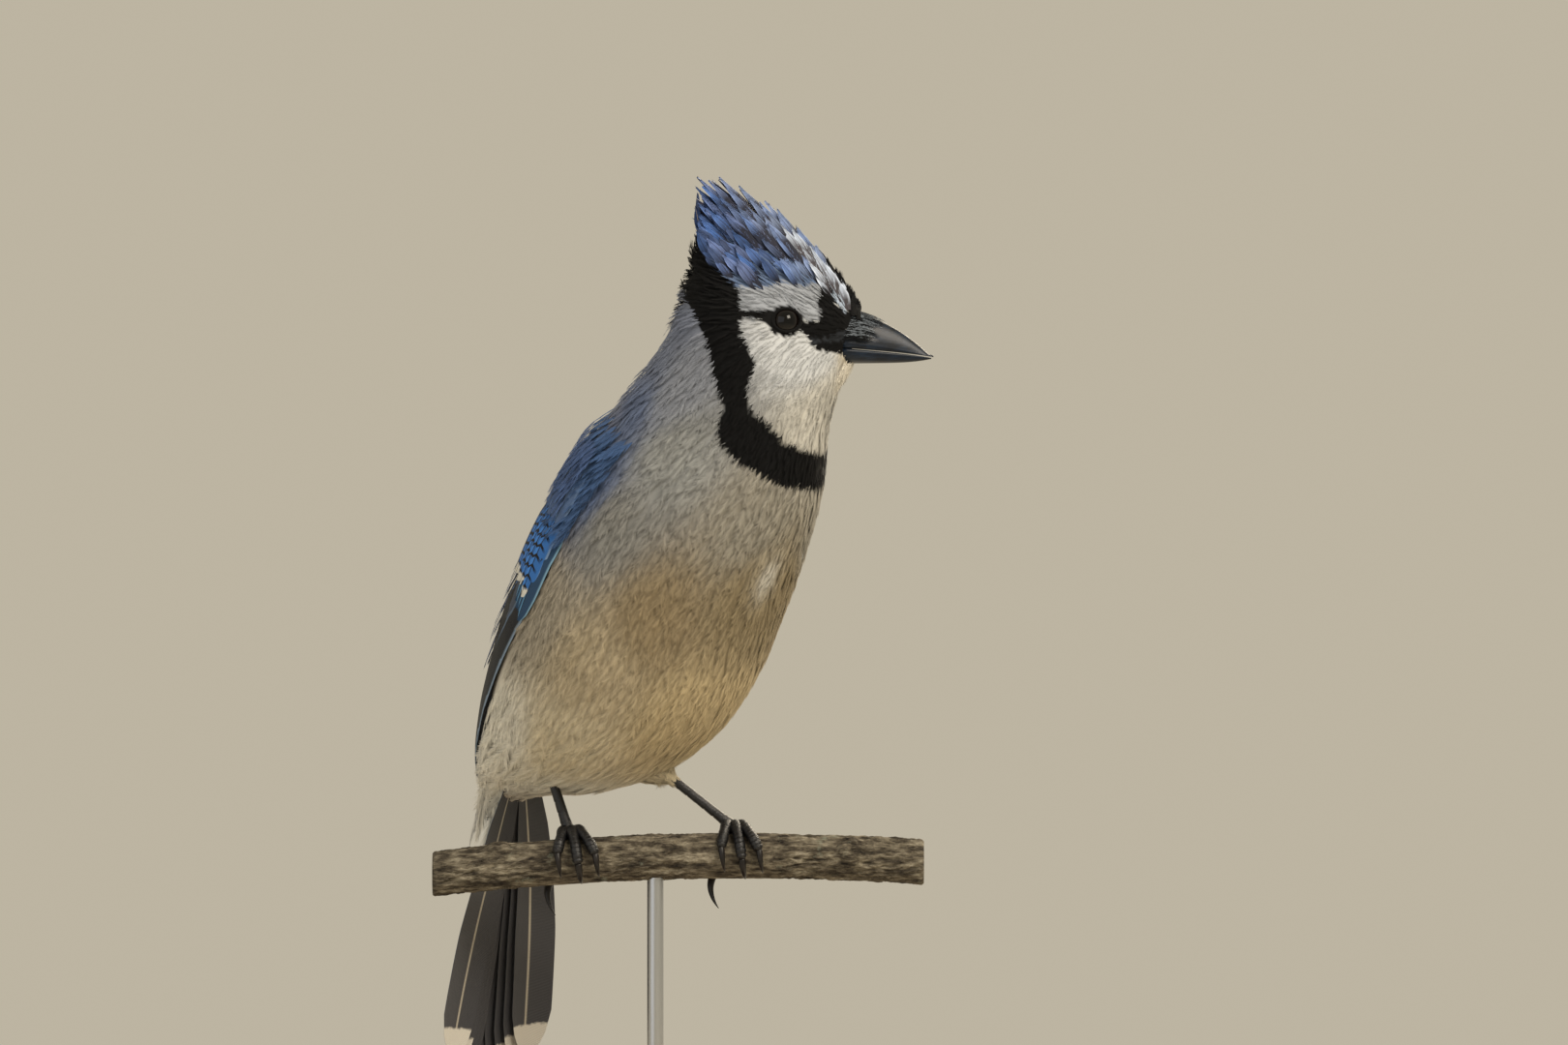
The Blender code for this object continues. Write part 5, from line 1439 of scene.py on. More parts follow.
@dataclass(frozen=True)
class Wing:
    """A folded wing: its covered arm and every tier of flight feathers and coverts."""

    side: Side
    seed: int = 51

    def turned(self, angle: Array) -> Array:
        """Angle on this wing's side of the bird."""
        return angle if self.side is Side.RIGHT else 360.0 - angle

    def arm(self) -> Sheaf:
        """Make the closed pad of the folded arm and down under the vanes.

        Returns:
            Its triangles.
        """
        t = np.linspace(7.3, 2.7, 24)
        s = np.linspace(0.0, 1.0, 24)[:, None]
        u = np.linspace(0.0, 1.0, 14)
        lower = np.interp(-t, (-7.7, -6.7, -5.7, -4.9, -4.3, -3.4, -2.4), (125, 113, 107, 110, 116, 131, 144))
        lower = lower[:, None]
        angle = self.turned((lower + 4.0) + (145.0 + 24.0 * s ** 0.6 - lower - 4.0) * u)
        t = np.broadcast_to(t[:, None], angle.shape)
        crown = (1.0 - (2.0 * u - 1.0) ** 4) * np.sin(np.pi * np.minimum(1.0, 0.1 + 0.8 * s)) ** 0.5
        top, low = WING_BED.point(t, angle, 0.7 + 1.5 * crown), WING_BED.point(t, angle, 0.3)
        points, faces = plate(top, low, self.side is Side.LEFT)
        out = WING_BED.surface(t.ravel(), angle.ravel())[1]
        place = bake_place(t, angle).reshape(-1, 2)
        sheaf = Sheaf()
        sheaf.add(points, faces, np.tile(linear(ARM_DOWN), (len(points), 1)), np.concatenate([out, -out]),
                  np.concatenate([place, place]))
        return sheaf

    def row(self, row: FeatherRow) -> Sheaf:
        """Set every vane of one tier, each a little higher than the one below it.

        Args:
            row: the tier's places and sizes.

        Returns:
            The tier's triangles.
        """
        sheaf = Sheaf()
        rng = np.random.default_rng(self.seed + len(row.name))
        shingle = math.radians(SHINGLE_DEGREES) * self.side.value
        s = np.linspace(0.0, 1.0, row.shape.rows)
        for k in range(row.count):
            u = k / (row.count - 1)
            root, tip = (np.array(low) * (1 - u) + np.array(high) * u for low, high in (row.roots, row.tips))
            tip[0] -= row.bulge * math.sin(math.pi * u) + rng.uniform(-0.05, 0.05)
            lift = row.height[0] + (row.height[1] - row.height[0]) * u
            t = root[0] + (tip[0] - root[0]) * s
            angle = self.turned(root[1] + (tip[1] - root[1]) * s)
            stand = np.maximum(lift - 2.2 * np.maximum(0.0, 1.0 - s / 0.45), 0.9)
            path = WING_BED.point(t, angle, stand)
            out = unit(WING_BED.point(t, angle, lift + 1.0) - path)
            along = unit(np.gradient(path, axis=0))
            turned = out * math.cos(shingle) + np.cross(along, out) * math.sin(shingle)
            width = row.width * rng.uniform(0.95, 1.05)
            Vane(row.shape, path, turned, width, -self.side.value, k).into(sheaf)
        return sheaf

    def build(self, finishes: Looks) -> list[Piece]:
        """Make the wing's pieces.

        Args:
            finishes: materials by name.

        Returns:
            The pieces, the arm first.
        """
        end = self.side.name.lower()
        pieces = [self.arm().mesh(f"wing_arm_{end}", finishes["body_plumage"])]
        for row in WING_ROWS:
            pieces.append(self.row(row).mesh(f"{row.name}_{end}", finishes[row.finish]))
        return pieces


@dataclass(frozen=True)
class Tail:
    """Twelve tail feathers in mirrored pairs, the middle pair on top, fanned a little."""

    root: Spot = (-47.0, 30.0, 131.0)
    yaw: float = 40.0
    lean_back: float = 11.0
    length: float = 108.0
    pairs: int = 6
    width: float = 17.0
    fan: float = 9.0
    roll: float = 5.0
    level: float = 0.9

    def axes(self) -> tuple[Array, Array, Array]:
        """Find the tail's directions.

        Returns:
            Unit vectors along the tail, to its right and towards its underside.
        """
        yaw = math.radians(self.yaw)
        back = np.array([-math.cos(yaw), math.sin(yaw), 0.0])
        lean = math.radians(self.lean_back)
        along = back * math.sin(lean) - np.array([0.0, 0.0, math.cos(lean)])
        right = np.array([-math.sin(yaw), -math.cos(yaw), 0.0])
        under = np.cross(right, along)
        return along, right, under * -np.sign(np.dot(under, back))

    def build(self, material: Material) -> Piece:
        """Make all twelve vanes as one piece.

        Args:
            material: finish of the vanes.

        Returns:
            The piece.
        """
        along, right, under = self.axes()
        sheaf = Sheaf()
        s = np.linspace(0.0, 1.0, RECTRIX.rows)[:, None]
        for pair in range(self.pairs):
            share = pair / (self.pairs - 1)
            for number, side in enumerate((-1.0, 1.0)):
                fan = math.radians(side * (0.8 + self.fan * share))
                aim = along * math.cos(fan) + right * math.sin(fan)
                across = right * math.cos(fan) - along * math.sin(fan)
                roll = math.radians(self.roll) * side
                level = self.level * (pair - 1.6) + 0.2 * side
                reach = self.length * (1.0 - 0.075 * share ** 2)
                face = unit(-under * math.cos(roll) + across * math.sin(roll))
                sweep = across * side * (2.6 * share * np.sin(np.pi * s))
                droop = under * (level * np.minimum(1.0, 0.35 + 1.6 * s) + 1.6 + 2.2 * s * s)
                path = np.array(self.root) + aim * (5.0 + (reach - 5.0) * s) + sweep + droop
                normals = np.tile(face, (RECTRIX.rows, 1))
                Vane(RECTRIX, path, normals, self.width, side, 2 * pair + number).into(sheaf)
        return sheaf.mesh("tail_feathers", material)


TUBE_START = np.array([0.3, 0.9, 0.1])


def sweep(path: Array, radii: Array, sides: int, factor: Array = 1.0) -> Shell:
    """Make a closed tube along a path.

    Args:
        path: centre points.
        radii: radius at each point.
        sides: points round it.
        factor: what multiplies the radius, of shape (points, sides), where the tube isn't round.

    Returns:
        Points and triangles.
    """
    along = unit(np.gradient(path, axis=0))
    first = unit(np.cross(along[0], TUBE_START))
    across = []
    for aim in along:
        first = unit(first - aim * np.dot(first, aim))
        across.append(first)
    across = np.array(across)
    other = np.cross(along, across)
    turn = 2 * np.pi * np.arange(sides) / sides
    ring = across[:, None] * np.cos(turn)[:, None] + other[:, None] * np.sin(turn)[:, None]
    points = path[:, None] + ring * (radii[:, None] * factor)[..., None]
    return points.reshape(-1, 3), tube_faces(len(path), sides)


def tube_faces(rings: int, sides: int) -> Array:
    """Join a tube's rings, with a fan at each end from its first point.

    Args:
        rings: how many rings it has.
        sides: points in each ring.

    Returns:
        Triangles.
    """
    grid = np.arange(rings * sides).reshape(rings, sides)
    ahead = np.roll(grid, -1, axis=1)
    a, b, c, d = (g.ravel() for g in (grid[:-1], ahead[:-1], ahead[1:], grid[1:]))
    low = np.stack([np.zeros(sides - 2, int), np.arange(2, sides), np.arange(1, sides - 1)], -1)
    high = low[:, ::-1] + (rings - 1) * sides
    return np.concatenate([np.stack([a, b, c], -1), np.stack([a, c, d], -1), low, high])


def facing_out(points: Array, faces: Array) -> Array:
    """Turn the triangles of a closed shell so that they face out."""
    a, b, c = (points[faces[:, k]] - points.mean(0) for k in range(3))
    return faces if np.sum(a * np.cross(b, c)) > 0 else faces[:, ::-1]


def normals_of(points: Array, faces: Array) -> Array:
    """Weigh a mesh's point normals by area.

    Args:
        points: its points.
        faces: its triangles.

    Returns:
        A unit normal for each point.
    """
    a, b, c = (points[faces[:, k]] for k in range(3))
    flat = np.cross(b - a, c - a)
    total = np.zeros_like(points)
    for k in range(3):
        np.add.at(total, faces[:, k], flat)
    return unit(total)


def solid(name: str, shells: list[Shell], material: Material, quills: Array | None = None,
          colour: str = "#808080") -> Piece:
    """Make one piece of closed shells with smooth shading, each seen side on in its cell of the OFBake map.

    Args:
        name: the piece's name.
        shells: points and triangles of each shell.
        material: its finish.
        quills: own coordinates of the points, where there is one shell that needs them.
        colour: pigment of every point.

    Returns:
        The piece.
    """
    sheaf = Sheaf()
    for k, (points, faces) in enumerate(shells):
        faces = facing_out(points, faces)
        low, high = points.min(0), points.max(0)
        place = (points - low)[:, [0, 2]] / np.maximum(high - low, 1e-6)[[0, 2]]
        place = np.array([k % ATLAS, k // ATLAS]) / ATLAS + 0.02 + place * 0.96 / ATLAS
        shade = np.tile(linear(colour), (len(points), 1))
        sheaf.add(points, faces, shade, normals_of(points, faces), place, quills)
    return sheaf.mesh(name, material)


# The nostrils, as (x, z) of the profile
NOSTRIL = (61.6, 253.8)


@dataclass(frozen=True)
class Bill:
    """The stout bill: two halves that meet along the mouth line, with a nostril pit on each side."""

    base: float = 54.5
    tip: float = 80.6
    width: float = 5.2
    rings: int = 44
    sides: int = 34
    sunk: float = 3.0

    def culmen(self, s: Array) -> Array:
        """Height of the bill's ridge at shares of its length."""
        return 261.3 - 3.4 * s - 10.9 * s ** 2.1

    def half_width(self, s: Array) -> Array:
        """Half the bill's width at shares of its length."""
        return self.width * (1.0 - s) ** 0.75 * (1.0 - 0.25 * s) + 0.45

    def half(self, upper: bool) -> Shell:
        """Shape one half.

        Args:
            upper: whether it is the upper half.

        Returns:
            Points and triangles.
        """
        s = np.concatenate([[-self.sunk / (self.tip - self.base)], np.linspace(0.0, 1.0, self.rings) ** 0.85])
        full = np.maximum(s, 0.0)
        x = self.base + (self.tip - self.base) * s * (1.0 if upper else 0.975)
        mouth = 250.2 - 2.2 * full - 0.6 * full ** 4
        under = 245.6 + 0.2 * full + 1.2 * full ** 5
        wide = self.half_width(full)
        edge = mouth + (0.12 if upper else -0.12)
        far = np.maximum(self.culmen(full), edge + 0.6) if upper else np.minimum(under, edge - 0.35)
        a = np.linspace(0.0, np.pi, self.sides)[None]
        rise = np.sin(a) ** (0.85 if upper else 0.7)
        pinch = 1.0 - (0.25 if upper else 0.0) * rise ** 2
        y = HEAD_MID_Y + wide[:, None] * np.cos(a) * pinch
        z = edge[:, None] + (far - edge)[:, None] * rise
        if upper:
            pit = np.exp(-(((x[:, None] - NOSTRIL[0]) / 1.5) ** 2 + ((z - NOSTRIL[1]) / 0.6) ** 2))
            y = y - np.sign(y - HEAD_MID_Y) * 0.6 * pit
            lip = np.exp(-((z - edge[:, None]) / 0.5) ** 2)
            y = y + np.sign(y - HEAD_MID_Y) * 0.12 * lip * (wide[:, None] > 1.0)
        floor = np.stack([HEAD_MID_Y + q * wide * 0.6 for q in (-1.0, 1.0)], -1)
        y = np.concatenate([y, floor], 1)
        z = np.concatenate([z, np.repeat(edge[:, None], 2, 1)], 1)
        points = np.stack(np.broadcast_arrays(x[:, None], y, z), -1).reshape(-1, 3)
        return points, tube_faces(len(s), self.sides + 2)

    def build(self, material: Material) -> list[Piece]:
        """Make the two halves as pieces."""
        return [solid("bill_upper_horn", [self.half(True)], material),
                solid("bill_lower_horn", [self.half(False)], material)]


BILL = Bill()


@dataclass(frozen=True)
class Eye:
    """A glass eye, whose front swells a little over the iris."""

    side: Side
    rings: int = 40
    sides: int = 64
    cornea: float = 0.35

    def build(self, material: Material) -> Piece:
        """Turn the eye about its axis as one piece.

        Args:
            material: finish of the eye.

        Returns:
            The piece.
        """
        centre, out, ahead, up = eye_frame(self.side)
        polar = np.linspace(0.004, np.pi - 0.004, self.rings)[:, None]
        turn = (2 * np.pi * np.arange(self.sides) / self.sides)[None]
        radius = EYE_RADIUS + self.cornea * np.exp(-((polar / 0.55) ** 2)) - 0.1
        off = radius * np.sin(polar)
        points = (centre + out * (radius * np.cos(polar))[..., None] + ahead * (off * np.cos(turn))[..., None]
                  + up * (off * np.sin(turn))[..., None]).reshape(-1, 3)
        quill = np.zeros_like(points)
        quill[:, 0] = np.repeat(np.where(polar < np.pi / 2, off, EYE_RADIUS), self.sides)
        shell = (points, tube_faces(self.rings, self.sides))
        return solid(f"eyeball_{self.side.name.lower()}", [shell], material, quill)


@dataclass(frozen=True)
class Lids:
    """The two bare lids round an eye: a thin rim that is longer than tall, with fine wrinkles."""

    side: Side
    lowest: float = 2.8
    rim: float = 0.45
    around: int = 96
    sides: int = 12

    def shell(self) -> Shell:
        """Shape the rim.

        Returns:
            Points and triangles.
        """
        centre, out, ahead, up = eye_frame(self.side)
        around, sides = self.around, self.sides
        a = (2 * np.pi * np.arange(around) / around)[:, None]
        b = (2 * np.pi * np.arange(sides) / sides)[None]
        corner = 1.0 + 0.06 * np.abs(np.cos(a)) ** 6
        reach = EYE_OPENING * corner + self.rim * (1.0 + 0.12 * np.sin(a * 24)) * np.cos(b) * 1.15
        off_axis = np.minimum(EYE_OPENING * corner * np.hypot(np.cos(a), EYE_SQUINT * np.sin(a)), 4.4)
        rise = np.maximum(np.sqrt(EYE_RADIUS ** 2 - off_axis ** 2) + 0.12, self.lowest) + self.rim * np.sin(b)
        spoke = ahead * np.cos(a)[..., None] + up * np.sin(a)[..., None] * EYE_SQUINT
        points = (centre + spoke * reach[..., None] + out * rise[..., None]).reshape(-1, 3)
        grid = np.arange(around * sides).reshape(around, sides)
        a, b, c, d = (np.roll(grid, turn, (0, 1)).ravel() for turn in ((0, 0), (0, -1), (-1, -1), (-1, 0)))
        return points, np.concatenate([np.stack([a, b, c], -1), np.stack([a, c, d], -1)])


@dataclass(frozen=True)
class Toe:
    """Where a toe wraps round the perch, from and to, and how its claw goes on."""

    name: str
    x: Pair
    angles: Pair
    sweep: float
    claw: float


TOES = (
    Toe("inner", (-1.2, -3.4), (108.0, 18.0), -58.0, 1.05),
    Toe("middle", (0.4, 3.0), (108.0, -6.0), -60.0, 1.15),
    Toe("outer", (1.8, 8.2), (108.0, 12.0), -56.0, 1.05),
    Toe("hind", (-0.8, -6.0), (92.0, 226.0), 40.0, 1.3),
)


# Where the feet sit along the perch; each knot's x, angle, height and size
FEET_X = (-29.4, 20.5)
KNOTS = ((-52.0, 60.0, 1.6, 3.2), (56.0, 20.0, 2.2, 3.6), (-1.5, 12.0, 1.5, 2.8))


@dataclass(frozen=True)
class Perch:
    """A cut length of gently arched branch with rough bark and two sawn ends."""

    radius: float = 7.0
    left: float = -72.0
    right: float = 78.0
    crown_x: float = 22.0
    crown_z: float = 95.6
    sag: float = 0.00062
    rings: int = 330
    sides: int = 120
    smoothest: float = 0.25

    def height(self, x: Array) -> Array:
        """Height of the branch's centre line."""
        return self.crown_z - self.sag * (x - self.crown_x) ** 2

    def grip(self, x: Array, angle: Array, radius: Array) -> Array:
        """Find points round the branch.

        Args:
            x: places along it.
            angle: 0 at its front, which faces -Y, 90 at its top and 180 at its back.
            radius: distances from its centre line.

        Returns:
            The points.
        """
        x, angle, radius = np.broadcast_arrays(np.asarray(x, float), angle, radius)
        a = np.radians(angle)
        return np.stack([x, -radius * np.cos(a), self.height(x) + radius * np.sin(a)], -1)

    def build(self, material: Material) -> Piece:
        """Make the branch with its bark's cracks and knots as real relief, calmer where the feet grip it.

        Args:
            material: the bark.

        Returns:
            The piece.
        """
        x = np.linspace(self.left, self.right, self.rings)
        turn = 360.0 * np.arange(self.sides) / self.sides
        near_foot = np.min([np.abs(x - foot) for foot in FEET_X], 0)
        calm = smooth(6.0, 16.0, near_foot) * (1.0 - self.smoothest) + self.smoothest
        relief = np.zeros((self.rings, self.sides))
        for k in range(self.rings):
            for m in range(self.sides):
                a = math.radians(turn[m])
                spot = Vector((x[k] * 0.07, math.cos(a) * 2.1, math.sin(a) * 2.1))
                crack = noise.fractal(spot * 2.0, 0.7, 2.2, 4)
                ridges, swells = noise.noise(spot * 6.0), noise.noise(spot * 0.7)
                relief[k, m] = -abs(crack) * 0.85 + 0.4 * ridges + 0.3 * swells
        r = self.radius + relief * calm[:, None]
        for knot_x, knot_angle, swell, size in KNOTS:
            bend = (turn - knot_angle + 180.0) % 360.0 - 180.0
            apart = ((x[:, None] - knot_x) ** 2 + (bend[None] * 0.12) ** 2) / size ** 2
            r = r + swell * np.exp(-apart) - swell * 0.7 * np.exp(-apart * 7.0)
        edge = np.minimum(x - self.left, self.right - x)
        r = r - 0.5 * np.exp(-edge / 0.35)[:, None]
        points = self.grip(x[:, None], turn[None], r)
        cuts = []
        for end, inward in ((0, 0.25), (-1, -0.25)):
            middle = np.array([x[end], 0.0, self.height(x[end])])
            cuts.append(middle + (points[end] - middle) * 0.45 + np.array([inward, 0.0, 0.0]))
        points = np.concatenate([cuts[0][None], points, cuts[1][None]]).reshape(-1, 3)
        return solid("bark_branch", [(points, tube_faces(self.rings + 2, self.sides))], material)


PERCH = Perch()


SHIN_SIDES = 20
HIND_CLAW = 12.0


@dataclass(frozen=True)
class Leg:
    """A bare lower leg with its four toes round the perch, each with a claw."""

    side: Side
    foot_x: float
    ankle: Spot
    tarsus: float = 1.45
    toe: float = 1.75
    gap: float = 0.3
    scutes: float = 11.0

    @property
    def foot(self) -> Array:
        """Where the lower leg meets the toes."""
        return PERCH.grip(self.foot_x, 104.0, PERCH.radius + self.gap + self.toe * 1.15)

    def shin(self) -> Shell:
        """Shape the lower leg, with overlapping scutes down its front and a plain back.

        Returns:
            Points and triangles.
        """
        s = np.linspace(-0.02, 1.0, 120)[:, None]
        path = self.foot * (1 - s) + np.array(self.ankle) * s
        swell = np.interp(s[:, 0], (0.0, 0.12, 0.4, 0.75, 1.0), (1.35, 1.06, 0.98, 1.04, 1.3))
        turn = 2 * np.pi * np.arange(SHIN_SIDES) / SHIN_SIDES
        scute = np.mod(s * self.scutes, 1.0)
        raised = 0.07 * (1.0 - scute) - 0.09 * (scute > 0.93)
        return sweep(path, self.tarsus * swell, SHIN_SIDES, 1.0 + raised * (0.5 + 0.5 * np.cos(turn - 0.8)))

    def digit(self, toe: Toe) -> Shell:
        """Shape one toe, with pads below and scutes above.

        Args:
            toe: which one.

        Returns:
            Points and triangles.
        """
        s = np.linspace(0.0, 1.0, 72)
        angle = toe.angles[0] + (toe.angles[1] - toe.angles[0]) * s
        x = self.foot_x + toe.x[0] + (toe.x[1] - toe.x[0]) * s
        radius = self.toe * (1.08 - 0.3 * s + 0.09 * np.sin(3.0 * np.pi * s))
        path = PERCH.grip(x, angle, PERCH.radius + 0.1 + radius)
        scute = np.mod(s * self.scutes, 1.0)
        ridge = 0.1 * (1.0 - scute) - 0.12 * (scute > 0.86)
        round_off = np.sqrt(np.clip(1.0 - (np.clip(s - 0.93, 0, 1) / 0.085) ** 2, 0.1, 1.0))
        return sweep(path, radius * round_off, 18, 1.0 + ridge[:, None])

    def claw(self, toe: Toe) -> Shell:
        """Shape one curved claw that carries on from its toe's end; the hind one lets go of the perch.

        Args:
            toe: which toe bears it.

        Returns:
            Points and triangles.
        """
        steps = 26
        s = np.linspace(0.0, 1.0, steps)
        if toe.name == "hind":
            back = np.array([-1 / 6, 0.0])
            last = toe.angles[1] + (toe.angles[1] - toe.angles[0]) * back
            x_last = self.foot_x + toe.x[1] + (toe.x[1] - toe.x[0]) * back
            end = PERCH.grip(x_last, last, PERCH.radius + self.gap + self.toe * 0.78)
            away = unit(end[1] - end[0])
            drop = np.stack([1.15 * s - 0.4, -0.45 * s, -np.ones(steps)], -1)
            let_go = np.minimum(1.0, 2.2 * s)[:, None]
            bend = unit(away * (1.0 - let_go) + drop * let_go)
            path = np.concatenate([[np.zeros(3)], np.cumsum(bend[1:] * HIND_CLAW / steps, 0)])
            path = end[1] - away * 0.5 + path
        else:
            radius = toe.claw * (1.0 - 0.8 * s)
            angle = toe.angles[1] + toe.sweep * s
            hug = PERCH.radius + self.gap + radius + (self.toe * 0.78 - toe.claw) * (1.0 - s)
            path = PERCH.grip(self.foot_x + toe.x[1] + 1.2 * s, angle, hug + 0.9 * np.sin(np.pi * s))
        return sweep(path, toe.claw * (1.0 - 0.92 * s ** 1.3), 14)

    def build(self, skin: Material, horn: Material) -> list[Piece]:
        """Make the leg and its four claws.

        Args:
            skin: finish of leg and toes.
            horn: finish of the claws.

        Returns:
            The leg first, then the claws.
        """
        end = self.side.name.lower()
        pieces = [solid(f"scaled_leg_{end}", [self.shin()] + [self.digit(toe) for toe in TOES], skin)]
        pieces += [solid(f"talon_{end}_{toe.name}", [self.claw(toe)], horn) for toe in TOES]
        return pieces


# The step on the base's top: how far each ring lies in from its rim and down from its top
BASE_STEP = ((6.25, 1.85), (6.4, 1.5), (6.45, 0.7), (6.65, 0.25), (7.1, 0.0))


@dataclass(frozen=True)
class Stand:
    """The plain display stand: a turned base, an upright rod and the collar at its foot."""

    base_radius: float = 60.0
    base_height: float = 16.0
    rod_x: float = -4.0
    rod_radius: float = 2.5
    rod_foot: float = 7.0
    rod_in_perch: float = 3.2
    collar_radius: float = 6.0
    collar_height: float = 5.0
    axis: float = 0.05
    sides: int = 128

    def turn(self, profile: list[Pair], centre_x: float = 0.0) -> Shell:
        """Turn a profile about an upright axis.

        Args:
            profile: radius and height of each ring.
            centre_x: where the axis stands.

        Returns:
            Points and triangles.
        """
        a = 2 * np.pi * np.arange(self.sides) / self.sides
        rings = [np.stack([centre_x + r * np.cos(a), r * np.sin(a), z + 0.0 * a], -1) for r, z in profile]
        return np.concatenate(rings), tube_faces(len(profile), self.sides)

    def build(self, wood: Material, steel: Material) -> list[Piece]:
        """Make base, rod and collar.

        Args:
            wood: finish of the base.
            steel: finish of rod and collar.

        Returns:
            The three pieces.
        """
        rim, height, axis = self.base_radius, self.base_height, self.axis
        base = [(axis, 0.0), (rim - 2.0, 0.0), (rim - 1.2, 0.15), (rim - 0.5, 0.6), (rim, 1.4)]
        arc = np.radians(np.linspace(0.0, 90.0, 17))
        base += [(rim + 6.0 * (math.cos(a) - 1.0), 8.0 + 6.0 * math.sin(a)) for a in arc]
        base += [(rim - inset, height - drop) for inset, drop in BASE_STEP]
        base += [(rim / 2, height), (axis, height)]
        top = float(PERCH.height(self.rod_x)) - PERCH.radius + self.rod_in_perch
        rod = [(axis, self.rod_foot), (self.rod_radius, self.rod_foot), (self.rod_radius, top), (axis, top)]
        low, out, inner = height + 0.3, self.collar_radius, self.rod_radius + 0.1
        high = low + self.collar_height
        collar = [(inner, low), (out - 0.3, low), (out, low + 0.3), (out, high - 1.2),
                  (out - 0.35, high - 0.5), (out - 1.2, high), (inner + 0.3, high), (inner, high - 0.3)]
        return [solid("walnut_base", [self.turn(base)], wood),
                solid("steel_rod", [self.turn(rod, self.rod_x)], steel),
                solid("steel_collar", [self.turn(collar, self.rod_x)], steel)]


THIGH_LENGTH = 11.0
THIGH_WIDTH = 7.5


def thigh(ankle: Array, foot: Array) -> Loft:
    """Shape the lobe of feathers over a thigh, from inside the flank down to the bare leg.

    Args:
        ankle: top of the bare leg.
        foot: its lower end.

    Returns:
        The lobe.
    """
    along = -unit(foot - ankle)
    pitch, yaw = math.degrees(math.asin(along[2])), math.degrees(math.atan2(-along[1], along[0]))
    centre = ankle + (foot - ankle) * 0.2 + along * 6.05
    rows = []
    for k in range(9):
        u = math.cos(math.pi * k / 8.0)
        wide = THIGH_WIDTH * math.sqrt(max(1.0 - u * u, 0.02))
        rows.append((*(centre - along * THIGH_LENGTH * u), pitch, yaw, wide, wide, 0.0))
    return Loft(tuple(rows))


@dataclass(frozen=True)
class Skin:
    """The one skin under the coat, from the tail's root to the crown, with thighs and lids."""

    depth: float = 0.6
    face_depth: float = 0.5
    # How much the skin's colours are darkened: painted shade for its place deep under the coat
    shade: float = 0.9
    rings: int = 170
    sides: int = 128
    lobe_depth: float = 1.2
    lobe_sides: int = 24
    lid_margin: float = 5.4
    seed: int = 3

    def trunk(self, material: Material) -> Piece:
        """Make the body's shell with its markings.

        Args:
            material: the plumage.

        Returns:
            The piece, still without thighs and lids.
        """
        t = np.linspace(0.02, CROWN_T - 0.05, self.rings)[:, None]
        angle = (360.0 * np.arange(self.sides) / self.sides)[None]
        depth = -self.depth + (self.depth - self.face_depth) * smooth(8.8, 10.2, t)
        points = TRUNK.point(t, angle, depth).reshape(-1, 3)
        t, angle = (v.ravel() for v in np.broadcast_arrays(t, angle))
        faces = facing_out(points, tube_faces(self.rings, self.sides))
        # Darkened by shade: painted shade under the coat
        colours = MARKINGS.colour(t, angle, np.random.default_rng(self.seed)) * self.shade
        sheaf = Sheaf()
        sheaf.add(points, faces, colours, normals_of(points, faces), bake_place(t, angle))
        return sheaf.mesh("skin", material, soften=False)

    def join(self, body: Piece, shells: list[Piece]) -> None:
        """Fuse closed shells with the skin, and remove them.

        Args:
            body: the skin.
            shells: what joins it.
        """
        for shell in shells:
            modifier = body.modifiers.new("fuse", "BOOLEAN")
            modifier.operation = "UNION"
            modifier.object = shell
            modifier.solver = "EXACT"
        graph = bpy.context.evaluated_depsgraph_get()
        graph.update()
        mesh = bpy.data.meshes.new_from_object(body.evaluated_get(graph), depsgraph=graph)
        body.modifiers.clear()
        body.data = mesh
        for shell in shells:
            bpy.data.objects.remove(shell)

    def build(self, material: Material, legs: tuple[Leg, ...]) -> Piece:
        """Make the skin with the lobes of its thighs and its lids fused on.

        Args:
            material: the plumage.
            legs: what the thighs cover.

        Returns:
            The piece.
        """
        body = self.trunk(material)
        shells = []
        count = self.lobe_sides
        for leg in legs:
            lobe = thigh(np.array(leg.ankle), leg.foot)
            angle = 360.0 * np.arange(count) / count
            t = np.linspace(0.02, 7.98, count)[:, None]
            points = lobe.point(t, angle, -self.lobe_depth).reshape(-1, 3)
            shells.append(solid("lobe", [(points, tube_faces(count, count))], material, colour="#c9c2ae"))
        for side in Side:
            shells.append(solid("lid", [Lids(side).shell()], material, colour="#17171a"))
        self.join(body, shells)
        self.blacken_lids(body)
        return body

    def blacken_lids(self, body: Piece) -> None:
        """Give the lids and the rim of skin round them their bare black.

        Args:
            body: the skin.
        """
        count = len(body.data.vertices)
        points = np.zeros((count, 3), np.float32)
        body.data.vertices.foreach_get("co", points.ravel())
        pigment = body.data.attributes["pigment"]
        colours = np.zeros((count, 4), np.float32)
        pigment.data.foreach_get("color", colours.ravel())
        for side in Side:
            centre, out, ahead, up = eye_frame(side)
            away = points / MM - centre
            off_axis = np.hypot(away @ ahead, away @ up / EYE_SQUINT)
            colours[(off_axis < self.lid_margin) & (away @ out > 0.5)] = rgba("#070708")
        pigment.data.foreach_set("color", colours.ravel())


